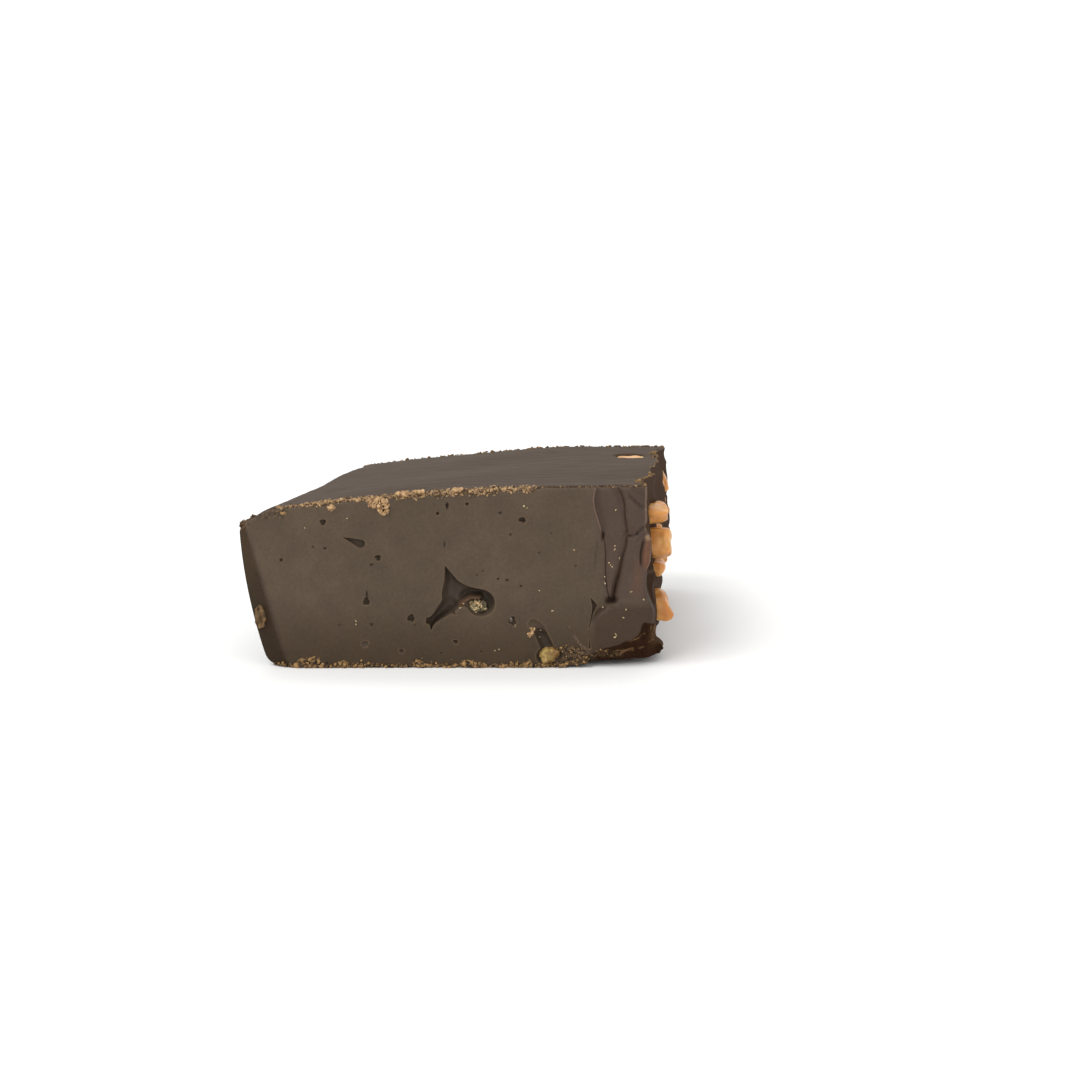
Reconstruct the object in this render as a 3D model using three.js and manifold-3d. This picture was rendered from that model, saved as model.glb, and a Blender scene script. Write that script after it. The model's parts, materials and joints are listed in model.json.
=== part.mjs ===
// Slice of chocolate fudge lying on a knife cut, with caramel pieces set in its poured side and
// nut pieces in its cast side. Millimetres, +Z up. The cast side faces -Y, the poured side +X.

import * as THREE from 'three';
import Module from 'manifold-3d';

const wasm = await Module();
wasm.setup();

// ---- slice ------------------------------------------------------------------------------------
const CENTRE_X = -0.575;  // x of the middle of the whole; all x below are from the slab's own zero
const DEPTH = 60;         // cast side to the far side
const FRONT = -29.83;     // y of the cast side
const BACK = FRONT + DEPTH;
const UNEVEN = 0.25;      // how uneven the hand-made sides are
const FRONT_UNEVEN = 0.08;

const TOP = {
  poured: 25.25,          // height along the poured side
  pan: 21.55,             // height towards the pan side
  highX: 22.3,            // the top is highest here
  bend: 2.2,              // how late it falls away from there
};
const PAN = {
  footX: -28.75,          // pan side at the foot of the front
  lean: 3.4,              // how far it leans out at its top
  round: 1.0,             // its lower edge is rounded in by this much
  roundTo: 0.08,          // share of the height that the rounding reaches
  skew: 7.0,              // the slice is cut askew: this side moves over towards the back
  chip: 1.3,              // its top edge is crumbled away by this much
  chipTo: 0.08,           // share of the width that the crumbled edge reaches
};
const PAN_TOP_X = PAN.footX - PAN.lean;
const PAN_TOP = TOP.pan - PAN.chip;
const POURED = {
  topX: 23.4,             // poured side at the top of the front
  belly: 1.3,             // how far it swells, up to where the swelling ends
  bellyRange: [9, 21],
  skew: 7.3,              // how far it moves over towards the back, high up and at its foot
  skewFoot: 3.3,
  skewRange: [3, 16],
  fold: 0.55,             // waves of the poured skin
  foldSize: 6.5,
  ripple: 0.3,
  rippleSize: 2.9,
  sink: 0.35,             // the skin lies this far in between its caramel pieces
  sinkRange: [1.5, 7],
  tuck: 0.4,              // it is drawn in at the foot
};
const LIP = { out: 1.25, heights: [1.0, 2.6], depths: [6, 17] };  // torn lip at the foot of the front
// Rounded pan corner of the front: its width at the top and the foot, and how fast it falls back.
const BEVEL = { top: 0.75, foot: 3.15, bend: 2.5, fall: 0.45, hollow: 0.45 };
const EDGE_ROUND = 0.45;
const EDGE_DROP = 0.3;
const END_ROUND = { depth: 1.7, range: [23.0, 25.4] };            // front corner at the poured side

// ---- folds of the skin near the poured end: x of each crease at heights z ---------------------
const FOLDS_FROM = [8.6, 10.5];
const CREASE_OUTER = {
  z: [0, 8.0, 9.3, 10.8, 13.0, 15.9, 18.8, 21.3, 23.3, 25.5],
  x: [16.4, 17.8, 18.4, 18.0, 17.75, 17.75, 17.3, 16.6, 16.2, 16.6],
  depth: 0.55, width: 0.42, from: FOLDS_FROM, to: [18.5, 22.0],
};
const CREASE_INNER = {
  z: [0, 8.0, 9.3, 11.4, 13.5, 15.9, 18.8, 21.1, 23.7, 25.5],
  x: [20.6, 19.4, 18.85, 19.1, 19.7, 20.2, 20.75, 20.4, 20.05, 19.2],
  depth: 0.75, width: 0.42, from: FOLDS_FROM, to: [30, 31],
};
const CREASE_CORNER = {
  z: [22.1, 22.4, 23.1, 23.7, 24.4],
  x: [22.9, 22.4, 21.8, 21.2, 20.6],
  depth: 0.5, width: 0.6, from: [21.4, 22.2], to: [30, 31],
};
const CREASE_EDGE = {
  z: [14.1, 15.1, 16.3, 17.5, 18.3],
  x: [22.6, 22.5, 22.56, 22.8, 23.1],
  depth: 0.5, width: 0.6, from: [13.6, 14.6], to: [18.2, 19.0],
};
const CREASE_FLAP = {
  z: [7.6, 9.0, 10.4, 11.95, 13.5],
  x: [24.6, 24.0, 23.5, 23.3, 23.4],
  depth: 0.6, width: 0.6, from: [7.0, 8.5], to: [13.5, 15.5],
};
const FOLD_SINK = 0.4;    // the folded skin lies this far behind the cast face
const SINK_EDGE = [-0.5, 0.4];
const SWELL = { between: 0.35, beyond: 0.4, end: 24.6 };          // the skin swells between creases
const FOLDED = [14.8, 15.8];                                      // the folds start between these x
const FOLDS_FADE = { share: 0.7, range: [24.0, 25.2] };
const PIT = { x: 18.6, z: 9.3, radius: 0.7, depth: 1.2 };
const DOME = { x: 19.2, z: 4.4, rx: 3.6, rz: 4.3, rise: 0.5 };
const DOME_RIM = { place: 1.06, width: 0.09, depth: 0.45, from: [3.5, 6.5] };
const NOTCH = { x: 16.2, z: 8.6, rx: 0.5, rz: 1.7, depth: 0.9 };

// ---- torn corner under the dome ---------------------------------------------------------------
const TORN = {
  startX: 15.2,
  startZ: 1.4,
  climb: 0.5,             // how the torn line climbs along the front
  step: 1.2,              // extra climb near the poured side
  stepRange: [21.0, 22.6],
  fall: 0.85,             // how far the torn face falls back for each millimetre down, at first
  deepest: 2.4,           // how far it falls back in all
  rough: 0.35,
  roughFrom: [0.2, 1.5],
};
// The foot is lifted under the torn corner: share of the width, share of the depth, height.
const FOOT_LIFTS = [
  { across: [0.7, 0.86], back: [0.03, 0.14], rise: 0.8 },
  { across: [0.95, 1.0], back: [0.03, 0.14], rise: 0.35 },
];

// ---- hollows of the cast side -----------------------------------------------------------------
// Air holes: x, z, width, height, turn in degrees, depth.
const HOLES = [
  [-20.7, 20.3, 0.8, 0.9, 0, 0.7],
  [-13.3, 15.4, 0.9, 0.8, 30, 0.7],
  [-15.0, 9.4, 0.9, 1.4, 0, 0.8],
  [-8.9, 7.0, 1.0, 1.1, 20, 0.8],
  [-15.3, 3.4, 0.9, 0.9, 0, 0.5],
  [6.4, 20.6, 1.1, 0.8, -20, 0.7],
  [5.0, 6.6, 1.1, 1.3, 30, 0.6],
  [-10.3, 2.4, 0.8, 0.7, 0, 0.5],
];
const FAR_HOLES = [
  [-16.0, 8.0, 1.2, 0.9, 15, 0.8],
  [-3.5, 17.5, 1.0, 1.1, 0, 0.7],
  [9.0, 6.5, 1.6, 1.1, -25, 1.0],
  [17.0, 14.0, 0.9, 0.9, 0, 0.7],
];
const HOLE_PLANE = 0.1;          // middle of an air hole, behind the cast side
const FAR_HOLE_PLANE = 0.35;
// Hollows with arms: each arm runs from one point to another, x, z and radius. Each further arm
// blends softly with the ones before it.
const TEAR = {
  hub: [-15.9, 17.4],
  spokes: [{ from: [-17.95, 18.2, 0.06], to: [-15.65, 17.32, 0.58] }],
  depth: 1.1,
};
const GROOVE = {
  hub: [9.2, 4.4],
  spokes: [{ from: [8.0, 6.2, 0.8], to: [9.7, 3.2, 1.0] }],
  depth: 1.5,
};
const VOID = {
  hub: [-3.2, 10.0],
  spokes: [
    { from: [-3.05, 10.9, 1.4], to: [-4.15, 14.3, 0.03] },
    { from: [-3.0, 10.5, 1.45], to: [0.6, 9.5, 1.5], blend: 0.9 },
    { from: [-3.5, 9.0, 1.25], to: [-5.9, 6.5, 0.6], blend: 0.4 },
  ],
  depth: 3.4,
};
const VOID_LOBE = { x: 0.7, z: 9.15, rx: 1.95, rz: 1.9, depth: 3.8 };
const FLOOR_BEND = 4;            // how flat the floor of a hollow is
const FLOOR_SHIFT = 0.12;
const CUT_CLEAR = 1.5;           // hollows are cut from this far outside the face
const CUT_FLARE = 1.02;
const REACH_LIMIT = 9;
const REACH_STEP = 0.02;

// ---- caramel pieces: distance from the front, height, width, tallness, thickness, turn, lift --
const CARAMEL = [
  [8.0, 7.3, 5.6, 3.8, 5.4, 4, -0.75],
  [10.2, 15.9, 6.2, 4.4, 5.6, -6, -0.15],
  [14.0, 11.7, 5.0, 3.0, 4.6, 8, -1.4],
  [10.2, 20.3, 5.2, 2.5, 4.8, 4, -0.15],
  [40.5, 19.6, 4.8, 3.6, 4.2, 30, -1.6],
  [20.0, 4.8, 5.4, 4.2, 4.8, -25, -1.7],
  [30.0, 6.0, 5.0, 4.0, 4.4, 15, -1.55],
  [26.0, 14.6, 4.8, 3.8, 4.2, -20, -1.65],
  [39.5, 10.0, 6.2, 4.8, 5.2, -8, -1.55],
  [50.0, 14.6, 5.8, 4.8, 5.2, 25, -1.95],
  [51.5, 5.4, 5.6, 4.2, 5.0, -15, -1.4],
  [54.0, 20.2, 4.6, 3.6, 4.2, 10, -1.6],
];
// A caramel piece in the top face, sliced level with it.
const CARAMEL_TOP = { centre: [23.6, 42.0, 23.9], size: [4.6, 5.6, 3.6], turn: 15, seed: 3.3, cut: 25.15 };
const CARAMEL_SIDES = 12;
const CARAMEL_RINGS = 7;
const CARAMEL_SQUARE = 0.48;     // 1 is a round piece, 0 a brick
const CARAMEL_DENT = 0.09;
const CARAMEL_FLARE = 0.16;
const CARAMEL_SHEAR = 0.35;
const COLLAR = { rise: 0.7, across: 0.62, up: 0.68, place: 0.95, width: 0.38 };  // skin round each piece

// ---- nut pieces: x, height, distance behind the front, half sizes -----------------------------
const NUT_EDGE = { x: 9.95, z: 1.65, y: 0.85, rx: 1.65, ry: 1.35, rz: 1.28, lobes: 3 };
const NUT_VOID = { x: 0.1, z: 8.35, y: 1.9, rx: 1.2, ry: 1.0, rz: 0.95, lobes: 4 };
const NUT_LOBE = 0.12;
const NUT_TWIST = 0.07;
const NUT_SIDES = 14;
const NUT_RINGS = 8;
const GAP = 0.3;                 // between the fudge and each piece set in it

// ---- mesh steps and finish --------------------------------------------------------------------
// The front has fine columns: a column reaches FLAT_WIDTH of the width at FLAT_SHARE of its count,
// and from there on the columns follow the two long creases.
const FLAT_WIDTH = 0.81;
const FLAT_SHARE = 0.4;
const FOLD_FROM_X = 14.6;
const CREASE_SHARES = [FLAT_SHARE, FLAT_SHARE + 0.16, FLAT_SHARE + 0.34, 1];
const FOLD_COLUMNS = [7, 8, 11];
const FLAT_COLUMNS = 15;
const PAN_COLUMNS = [0, 0.006, 0.014, 0.026];
const COARSE_COLUMNS = 15;
const STEPS_BACK = 24;
const STEPS_BACK_BEND = 1.12;
const STEPS_UP = 23;
const LAST_STEP_UP = 0.984;
const FINISH = {
  fudge: { color: 0x5a4c40, roughness: 0.6 },
  caramel: { color: 0xb07a42, roughness: 0.45 },
  nut: { color: 0xc8b070, roughness: 0.7 },
};

const mix = (a, b, t) => a + (b - a) * t;
const clamp = (t, lo = 0, hi = 1) => Math.min(hi, Math.max(lo, t));
const smooth = ([lo, hi], t) => {
  const k = clamp((t - lo) / (hi - lo));
  return k * k * (3 - 2 * k);
};
const bell = (d, width) => Math.exp(-((d / width) ** 2));

function along(curve, z) {
  const last = curve.z.length - 1;
  if (z <= curve.z[0]) return curve.x[0];
  if (z >= curve.z[last]) return curve.x[last];
  const i = curve.z.findIndex((value) => value > z) - 1;
  return mix(curve.x[i], curve.x[i + 1], (z - curve.z[i]) / (curve.z[i + 1] - curve.z[i]));
}

// Gentle unevenness of a hand-made slab, from -1 to 1.
function wave(a, b, size, seed) {
  const p = a / size;
  const q = b / size;
  const one = Math.sin(1.7 * p + 0.9 * q + seed);
  const two = Math.sin(-0.8 * p + 1.9 * q + 2.3 * seed);
  const three = Math.sin(2.9 * p - 2.3 * q + 3.1 * seed);
  return (one + two + 0.5 * three) / 2.5;
}

const edgeRound = (d) => (d < EDGE_ROUND ? EDGE_DROP * EDGE_ROUND * (1 - d / EDGE_ROUND) ** 2 : 0);

// ---- sides of the slice: v runs from front to back, w from foot to top ------------------------
function panLean(share) {
  const rounding = PAN.round * clamp(1 - share / PAN.roundTo) ** 2;
  return PAN.footX - PAN.lean * (1 - clamp(1 - share) ** 2) + rounding;
}

const pouredSkew = (z) => mix(POURED.skewFoot, POURED.skew, smooth(POURED.skewRange, z));
const pouredBelly = (z) => POURED.belly * (1 - smooth(POURED.bellyRange, z));

function panSide(v, w) {
  const uneven = UNEVEN * wave(v * DEPTH, w * 20, 9, 1.3) * smooth([0, 0.2], v);
  return panLean(w) + PAN.skew * v + uneven;
}

function pouredSide(v, w) {
  const z = w * TOP.poured;
  const y = v * DEPTH;
  const lip = LIP.out * (1 - smooth(LIP.heights, z)) * (1 - smooth(LIP.depths, y));
  const tuck = POURED.tuck * (1 - smooth([0, 0.9], z));
  const fold = POURED.fold * wave(y, z * 1.3, POURED.foldSize, 0.4);
  const ripple = POURED.ripple * wave(y, z, POURED.rippleSize, 5.2);
  let collar = 0;
  for (const [cy, cz, width, tall] of CARAMEL) {
    const d = Math.hypot((y - cy) / (width * COLLAR.across), (z - cz) / (tall * COLLAR.up));
    collar = Math.max(collar, COLLAR.rise * bell(d - COLLAR.place, COLLAR.width));
  }
  const skin = smooth(POURED.sinkRange, y) * (fold + ripple + collar - POURED.sink);
  return POURED.topX + pouredBelly(z) + lip - tuck + pouredSkew(z) * v + skin;
}

function topSide(column, v) {
  const u = unfold(column);
  const x = mix(PAN_TOP_X, POURED.topX, u);
  const fall = clamp((TOP.highX - x) / (TOP.highX - PAN_TOP_X)) ** TOP.bend;
  const chip = PAN.chip * (1 - smooth([0.005, PAN.chipTo], u)) * (1 + 0.6 * smooth([0.04, 0.4], v));
  const uneven = UNEVEN * wave(x, v * DEPTH, 11, 2.1) * smooth([0, 0.15], v);
  return mix(TOP.poured, TOP.pan, fall) - chip + uneven;
}

function footSide(column, v) {
  const u = unfold(column);
  const lifts = FOOT_LIFTS.map(({ across, back, rise }) => rise * smooth(across, u) * (1 - smooth(back, v)));
  return lifts[0] + lifts[1];
}

// ---- front: how far the cast side lies behind its plane ---------------------------------------
function tornLine(x) {
  return TORN.startZ + TORN.climb * (x - TORN.startX) + TORN.step * smooth(TORN.stepRange, x);
}

function creaseDepth(crease, x, z) {
  const shown = smooth(crease.from, z) * (1 - smooth(crease.to, z));
  return crease.depth * shown * bell(x - along(crease, z), crease.width);
}

function foldDepth(x, z) {
  const outer = along(CREASE_OUTER, z);
  const inner = along(CREASE_INNER, z);
  const high = smooth(FOLDS_FROM, z);
  const sinkEdge = SINK_EDGE.map((d) => outer + d);
  let depth = FOLD_SINK * smooth(sinkEdge, x) * high;
  for (const crease of [CREASE_OUTER, CREASE_INNER, CREASE_CORNER, CREASE_EDGE, CREASE_FLAP]) {
    depth += creaseDepth(crease, x, z);
  }
  const between = clamp((x - outer) / (inner - outer));
  const beyond = clamp((x - inner) / (SWELL.end - inner));
  depth -= SWELL.between * Math.sin(Math.PI * between) * high;
  depth -= SWELL.beyond * Math.sin(Math.PI * beyond) * high;
  const q = Math.hypot((x - DOME.x) / DOME.rx, (z - DOME.z) / DOME.rz);
  depth -= DOME.rise * Math.max(0, 1 - q * q);
  depth += DOME_RIM.depth * bell(q - DOME_RIM.place, DOME_RIM.width) * smooth(DOME_RIM.from, z);
  depth += PIT.depth * bell(Math.hypot(x - PIT.x, z - PIT.z), PIT.radius);
  depth += NOTCH.depth * bell(Math.hypot((x - NOTCH.x) / NOTCH.rx, (z - NOTCH.z) / NOTCH.rz), 1);
  return depth;
}

function bevelDepth(inside, share) {
  const width = mix(BEVEL.foot, BEVEL.top, share ** BEVEL.bend);
  if (inside >= width) return 0;
  return BEVEL.fall * (width - inside) * (1 - BEVEL.hollow * inside / width);
}

function frontDepth(x, z) {
  const share = clamp(z / PAN_TOP);
  let depth = FRONT_UNEVEN * wave(x, z, 7, 3.7) + bevelDepth(x - panLean(share), share);
  depth += foldDepth(x, z) * smooth(FOLDED, x) * (1 - FOLDS_FADE.share * smooth(FOLDS_FADE.range, x));
  depth += END_ROUND.depth * smooth(END_ROUND.range, x) ** 2;
  if (x > TORN.startX) {
    const below = tornLine(x) - z;
    depth += TORN.deepest * (1 - Math.exp(-TORN.fall * Math.max(0, below) / TORN.deepest));
    depth += TORN.rough * wave(x, z, 0.9, 2.7) * smooth(TORN.roughFrom, below);
  }
  return depth;
}

function farDepth(x, z) {
  const share = clamp(z / PAN_TOP);
  return UNEVEN * wave(x, z, 8, 6.1) + bevelDepth(x - panSide(1, share), share);
}

// Share of the width that a column reaches on the plain sides, and the column that reaches a share.
function unfold(u) {
  if (u < FLAT_SHARE) return u / FLAT_SHARE * FLAT_WIDTH;
  return mix(FLAT_WIDTH, 1, (u - FLAT_SHARE) / (1 - FLAT_SHARE));
}

function fold(t) {
  if (t < FLAT_WIDTH) return t / FLAT_WIDTH * FLAT_SHARE;
  return mix(FLAT_SHARE, 1, (t - FLAT_WIDTH) / (1 - FLAT_WIDTH));
}

function followCreases(u, left, right, z) {
  const stops = [left, FOLD_FROM_X, along(CREASE_OUTER, z), along(CREASE_INNER, z), right];
  const shares = [0, ...CREASE_SHARES];
  let i = 0;
  while (i < 3 && u > shares[i + 1]) i += 1;
  return mix(stops[i], stops[i + 1], (u - shares[i]) / (shares[i + 1] - shares[i]));
}

// ---- one point of the surface from its place in the unit box ----------------------------------
function place(u, v, w) {
  const z = mix(footSide(u, v), topSide(u, v), w);
  const frontZ = mix(footSide(u, 0), topSide(u, 0), w);
  const left = panSide(v, w);
  const right = pouredSide(v, w);
  const x = mix(followCreases(u, left, right, frontZ), mix(left, right, unfold(u)), smooth([0, 0.6], v));
  const frontX = followCreases(u, panSide(0, w), pouredSide(0, w), frontZ);
  const rounding = edgeRound((1 - w) * TOP.poured);
  const near = FRONT + frontDepth(frontX, frontZ) + rounding;
  const far = BACK - farDepth(x, z) - rounding;
  const atTop = w === 1 ? edgeRound(v * DEPTH) + edgeRound((1 - v) * DEPTH) : 0;
  return [x - CENTRE_X, mix(near, far, v), z - atTop];
}

function solid(points, triangles) {
  const mesh = new wasm.Mesh({
    numProp: 3,
    vertProperties: new Float32Array(points),
    triVerts: new Uint32Array(triangles),
  });
  return new wasm.Manifold(mesh);
}

// ---- mesh of the slice: fine columns on the front, coarse ones elsewhere ----------------------
const even = (n) => Array.from({ length: n + 1 }, (_, i) => i / n);

function frontColumns() {
  const columns = [...PAN_COLUMNS];
  const stops = [PAN_COLUMNS.at(-1), ...CREASE_SHARES];
  [FLAT_COLUMNS, ...FOLD_COLUMNS].forEach((count, part) => {
    for (let i = 1; i <= count; i += 1) columns.push(mix(stops[part], stops[part + 1], i / count));
  });
  return columns;
}

function sliceSolid() {
  const points = [];
  const seen = new Map();
  const triangles = [];
  const at = (u, v, w) => {
    const key = [u, v, w].map((n) => n.toFixed(6)).join();
    if (!seen.has(key)) {
      seen.set(key, points.length / 3);
      points.push(...place(u, v, w));
    }
    return seen.get(key);
  };
  const strip = (a, b, flip) => {
    let i = 0;
    let j = 0;
    while (i < a.length - 1 || j < b.length - 1) {
      const nextA = i < a.length - 1 ? a[i + 1].t : Infinity;
      const nextB = j < b.length - 1 ? b[j + 1].t : Infinity;
      const third = nextA <= nextB ? [a[i].id, a[i + 1].id, b[j].id] : [a[i].id, b[j + 1].id, b[j].id];
      if (nextA <= nextB) i += 1;
      else j += 1;
      triangles.push(...(flip ? third.reverse() : third));
    }
  };
  const sheet = (rows, flip) => {
    for (let i = 0; i + 1 < rows.length; i += 1) strip(rows[i], rows[i + 1], flip);
  };
  const row = (list, point) => list.map((t) => ({ t, id: point(t) }));
  const fine = frontColumns();
  const coarse = even(COARSE_COLUMNS).map((t) => fold(t));
  const vs = even(STEPS_BACK).map((t) => t ** STEPS_BACK_BEND);
  const ws = [...even(STEPS_UP - 1).map((t) => t * LAST_STEP_UP), 1];
  sheet(ws.map((w) => row(fine, (u) => at(u, 0, w))), false);
  sheet(ws.map((w) => row(coarse, (u) => at(u, 1, w))), true);
  sheet(ws.map((w) => row(vs, (v) => at(1, v, w))), false);
  sheet(ws.map((w) => row(vs, (v) => at(0, v, w))), true);
  sheet(vs.map((v) => row(v === 0 ? fine : coarse, (u) => at(u, v, 1))), false);
  sheet(vs.map((v) => row(v === 0 ? fine : coarse, (u) => at(u, v, 0))), true);
  return solid(points, triangles);
}

// ---- round bodies: rings from the lower pole to the upper pole --------------------------------
function ball(sides, rings, point) {
  const points = [...point(0, -1)];
  for (let i = 1; i < rings; i += 1) {
    const s = -Math.cos(Math.PI * i / rings);
    for (let j = 0; j < sides; j += 1) points.push(...point(2 * Math.PI * (j + 0.5) / sides, s));
  }
  points.push(...point(0, 1));
  const top = points.length / 3 - 1;
  const id = (i, j) => 1 + (i - 1) * sides + (j % sides);
  const triangles = [];
  for (let j = 0; j < sides; j += 1) {
    triangles.push(0, id(1, j + 1), id(1, j));
    triangles.push(top, id(rings - 1, j), id(rings - 1, j + 1));
    for (let i = 1; i < rings - 1; i += 1) {
      triangles.push(id(i, j), id(i, j + 1), id(i + 1, j + 1));
      triangles.push(id(i, j), id(i + 1, j + 1), id(i + 1, j));
    }
  }
  return facing(points, triangles);
}

// A solid with its faces turned outwards.
function facing(points, triangles) {
  let volume = 0;
  for (let i = 0; i < triangles.length; i += 3) {
    const [a, b, c] = [0, 1, 2].map((k) => new THREE.Vector3().fromArray(points, 3 * triangles[i + k]));
    volume += a.dot(b.cross(c));
  }
  if (volume > 0) return solid(points, triangles);
  const turned = [];
  for (let i = 0; i < triangles.length; i += 3) turned.push(triangles[i], triangles[i + 2], triangles[i + 1]);
  return solid(points, turned);
}

const power = (c, e) => Math.sign(c) * Math.abs(c) ** e;

// A soft cut block of caramel with uneven sides.
function caramelBlock(centre, [thick, width, tall], turn, seed, grow) {
  const angle = THREE.MathUtils.degToRad(turn);
  return ball(CARAMEL_SIDES, CARAMEL_RINGS, (a, s) => {
    const r = power(Math.sqrt(Math.max(0, 1 - s * s)), CARAMEL_SQUARE);
    const bx = power(s, CARAMEL_SQUARE);
    const by = r * power(Math.cos(a), CARAMEL_SQUARE);
    const bz = r * power(Math.sin(a), CARAMEL_SQUARE);
    const dents = Math.sin(2.1 * by + 1.7 * bz + seed) + Math.sin(2.6 * bx - 1.9 * bz + 2 * seed);
    const dent = 1 - CARAMEL_DENT * dents;
    const flare = 1 - CARAMEL_FLARE * Math.sin(seed) * bz;
    const px = (thick / 2 * dent + grow) * bx * flare;
    const py = (width / 2 * dent + grow) * by;
    const pz = (tall / 2 + grow) * bz + CARAMEL_SHEAR * by * Math.cos(seed);
    const y = Math.cos(angle) * py - Math.sin(angle) * pz;
    const z = Math.sin(angle) * py + Math.cos(angle) * pz;
    return [centre[0] + px - CENTRE_X, centre[1] + y + FRONT, centre[2] + z];
  });
}

function caramelBody(index, grow) {
  const [depth, height, width, tall, thick, turn, lift] = CARAMEL[index];
  const face = POURED.topX + pouredBelly(height) + pouredSkew(height) * depth / DEPTH;
  return caramelBlock([face + lift, depth, height], [thick, width, tall], turn, 1.7 * index + 0.6, grow);
}

function nutBody(nut, grow) {
  return ball(NUT_SIDES, NUT_RINGS, (a, s) => {
    const r = Math.sqrt(Math.max(0, 1 - s * s));
    const lobe = 1 + NUT_LOBE * Math.sin(nut.lobes * a + 1.1) * r + NUT_TWIST * Math.sin(4 * s + 2 * a);
    return [
      nut.x - CENTRE_X + (nut.rx * lobe + grow) * r * Math.cos(a),
      FRONT + nut.y + (nut.ry * lobe + grow) * r * Math.sin(a),
      nut.z + (nut.rz + grow) * s,
    ];
  });
}

function lobeBody({ x, z, rx, rz, depth }) {
  return ball(20, 10, (a, s) => {
    const r = Math.sqrt(Math.max(0, 1 - s * s));
    return [x - CENTRE_X + rx * r * Math.cos(a), FRONT + depth * s, z + rz * r * Math.sin(a)];
  });
}

function roundHole([x, z, width, height, turn, depth], plane) {
  const angle = THREE.MathUtils.degToRad(turn);
  return ball(8, 5, (a, s) => {
    const r = Math.sqrt(Math.max(0, 1 - s * s));
    const px = width / 2 * r * Math.cos(a);
    const pz = height / 2 * r * Math.sin(a);
    return [
      x - CENTRE_X + Math.cos(angle) * px - Math.sin(angle) * pz,
      plane + depth * s,
      z + Math.sin(angle) * px + Math.cos(angle) * pz,
    ];
  });
}

// ---- hollows with arms: tapered spokes from a hub ---------------------------------------------
function spokeDistance(x, z, spoke) {
  const [ax, az, ar] = spoke.from;
  const [bx, bz, br] = spoke.to;
  const length = (bx - ax) ** 2 + (bz - az) ** 2;
  const t = clamp(((x - ax) * (bx - ax) + (z - az) * (bz - az)) / length);
  return Math.hypot(x - mix(ax, bx, t), z - mix(az, bz, t)) - mix(ar, br, t);
}

function softDistance(x, z, spokes) {
  let d = spokeDistance(x, z, spokes[0]);
  for (const spoke of spokes.slice(1)) {
    const other = spokeDistance(x, z, spoke);
    const h = clamp(0.5 + 0.5 * (other - d) / spoke.blend);
    d = mix(other, d, h) - spoke.blend * h * (1 - h);
  }
  return d;
}

// How far a hollow reaches from its hub in one direction.
function reach({ hub, spokes }, angle) {
  const inside = (r) => softDistance(hub[0] + r * Math.cos(angle), hub[1] + r * Math.sin(angle), spokes) < 0;
  let r = 0;
  while (r < REACH_LIMIT && inside(r)) r += REACH_STEP;
  return r;
}

function hollow(shape, sides, rings) {
  const { hub, depth } = shape;
  const edge = Array.from({ length: sides }, (_, j) => reach(shape, 2 * Math.PI * j / sides));
  const points = [hub[0] - CENTRE_X, FRONT + depth, hub[1]];
  const level = (rho, y) => {
    for (let j = 0; j < sides; j += 1) {
      const a = 2 * Math.PI * j / sides;
      points.push(hub[0] + rho * edge[j] * Math.cos(a) - CENTRE_X, y, hub[1] + rho * edge[j] * Math.sin(a));
    }
  };
  for (let i = 1; i <= rings; i += 1) {
    const rho = i / rings;
    level(rho, FRONT + depth * (1 - rho ** FLOOR_BEND) + FLOOR_SHIFT);
  }
  level(CUT_FLARE, FRONT - CUT_CLEAR);
  points.push(hub[0] - CENTRE_X, FRONT - CUT_CLEAR, hub[1]);
  const last = points.length / 3 - 1;
  const id = (i, j) => 1 + i * sides + (j % sides);
  const triangles = [];
  for (let j = 0; j < sides; j += 1) {
    triangles.push(0, id(0, j), id(0, j + 1));
    for (let i = 0; i < rings; i += 1) {
      triangles.push(id(i, j), id(i + 1, j), id(i + 1, j + 1));
      triangles.push(id(i, j), id(i + 1, j + 1), id(i, j + 1));
    }
    triangles.push(last, id(rings, j + 1), id(rings, j));
  }
  return facing(points, triangles);
}

// ---- the pieces -------------------------------------------------------------------------------
const pieces = [];
let slice = sliceSolid();
slice = slice.subtract(hollow(VOID, 48, 4));
slice = slice.subtract(lobeBody(VOID_LOBE));
slice = slice.subtract(hollow(TEAR, 20, 2));
slice = slice.subtract(hollow(GROOVE, 24, 2));
for (const hole of HOLES) slice = slice.subtract(roundHole(hole, FRONT + HOLE_PLANE));
for (const hole of FAR_HOLES) slice = slice.subtract(roundHole(hole, BACK - FAR_HOLE_PLANE));

CARAMEL.forEach((_, index) => {
  slice = slice.subtract(caramelBody(index, GAP));
  pieces.push([`caramel_${String(index + 1).padStart(2, '0')}`, caramelBody(index, 0), FINISH.caramel]);
});

const topPiece = (grow) => {
  const { centre, size, turn, seed } = CARAMEL_TOP;
  return caramelBlock(centre, size, turn, seed, grow);
};
slice = slice.subtract(topPiece(GAP));
pieces.push(['caramel_top', topPiece(0).trimByPlane([0, 0, -1], -CARAMEL_TOP.cut), FINISH.caramel]);

for (const [name, nut] of [['nut_edge', NUT_EDGE], ['nut_void', NUT_VOID]]) {
  slice = slice.subtract(nutBody(nut, GAP));
  pieces.push([name, nutBody(nut, 0), FINISH.nut]);
}

const group = new THREE.Group();
group.name = 'chocolate_fudge_slice';

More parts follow.
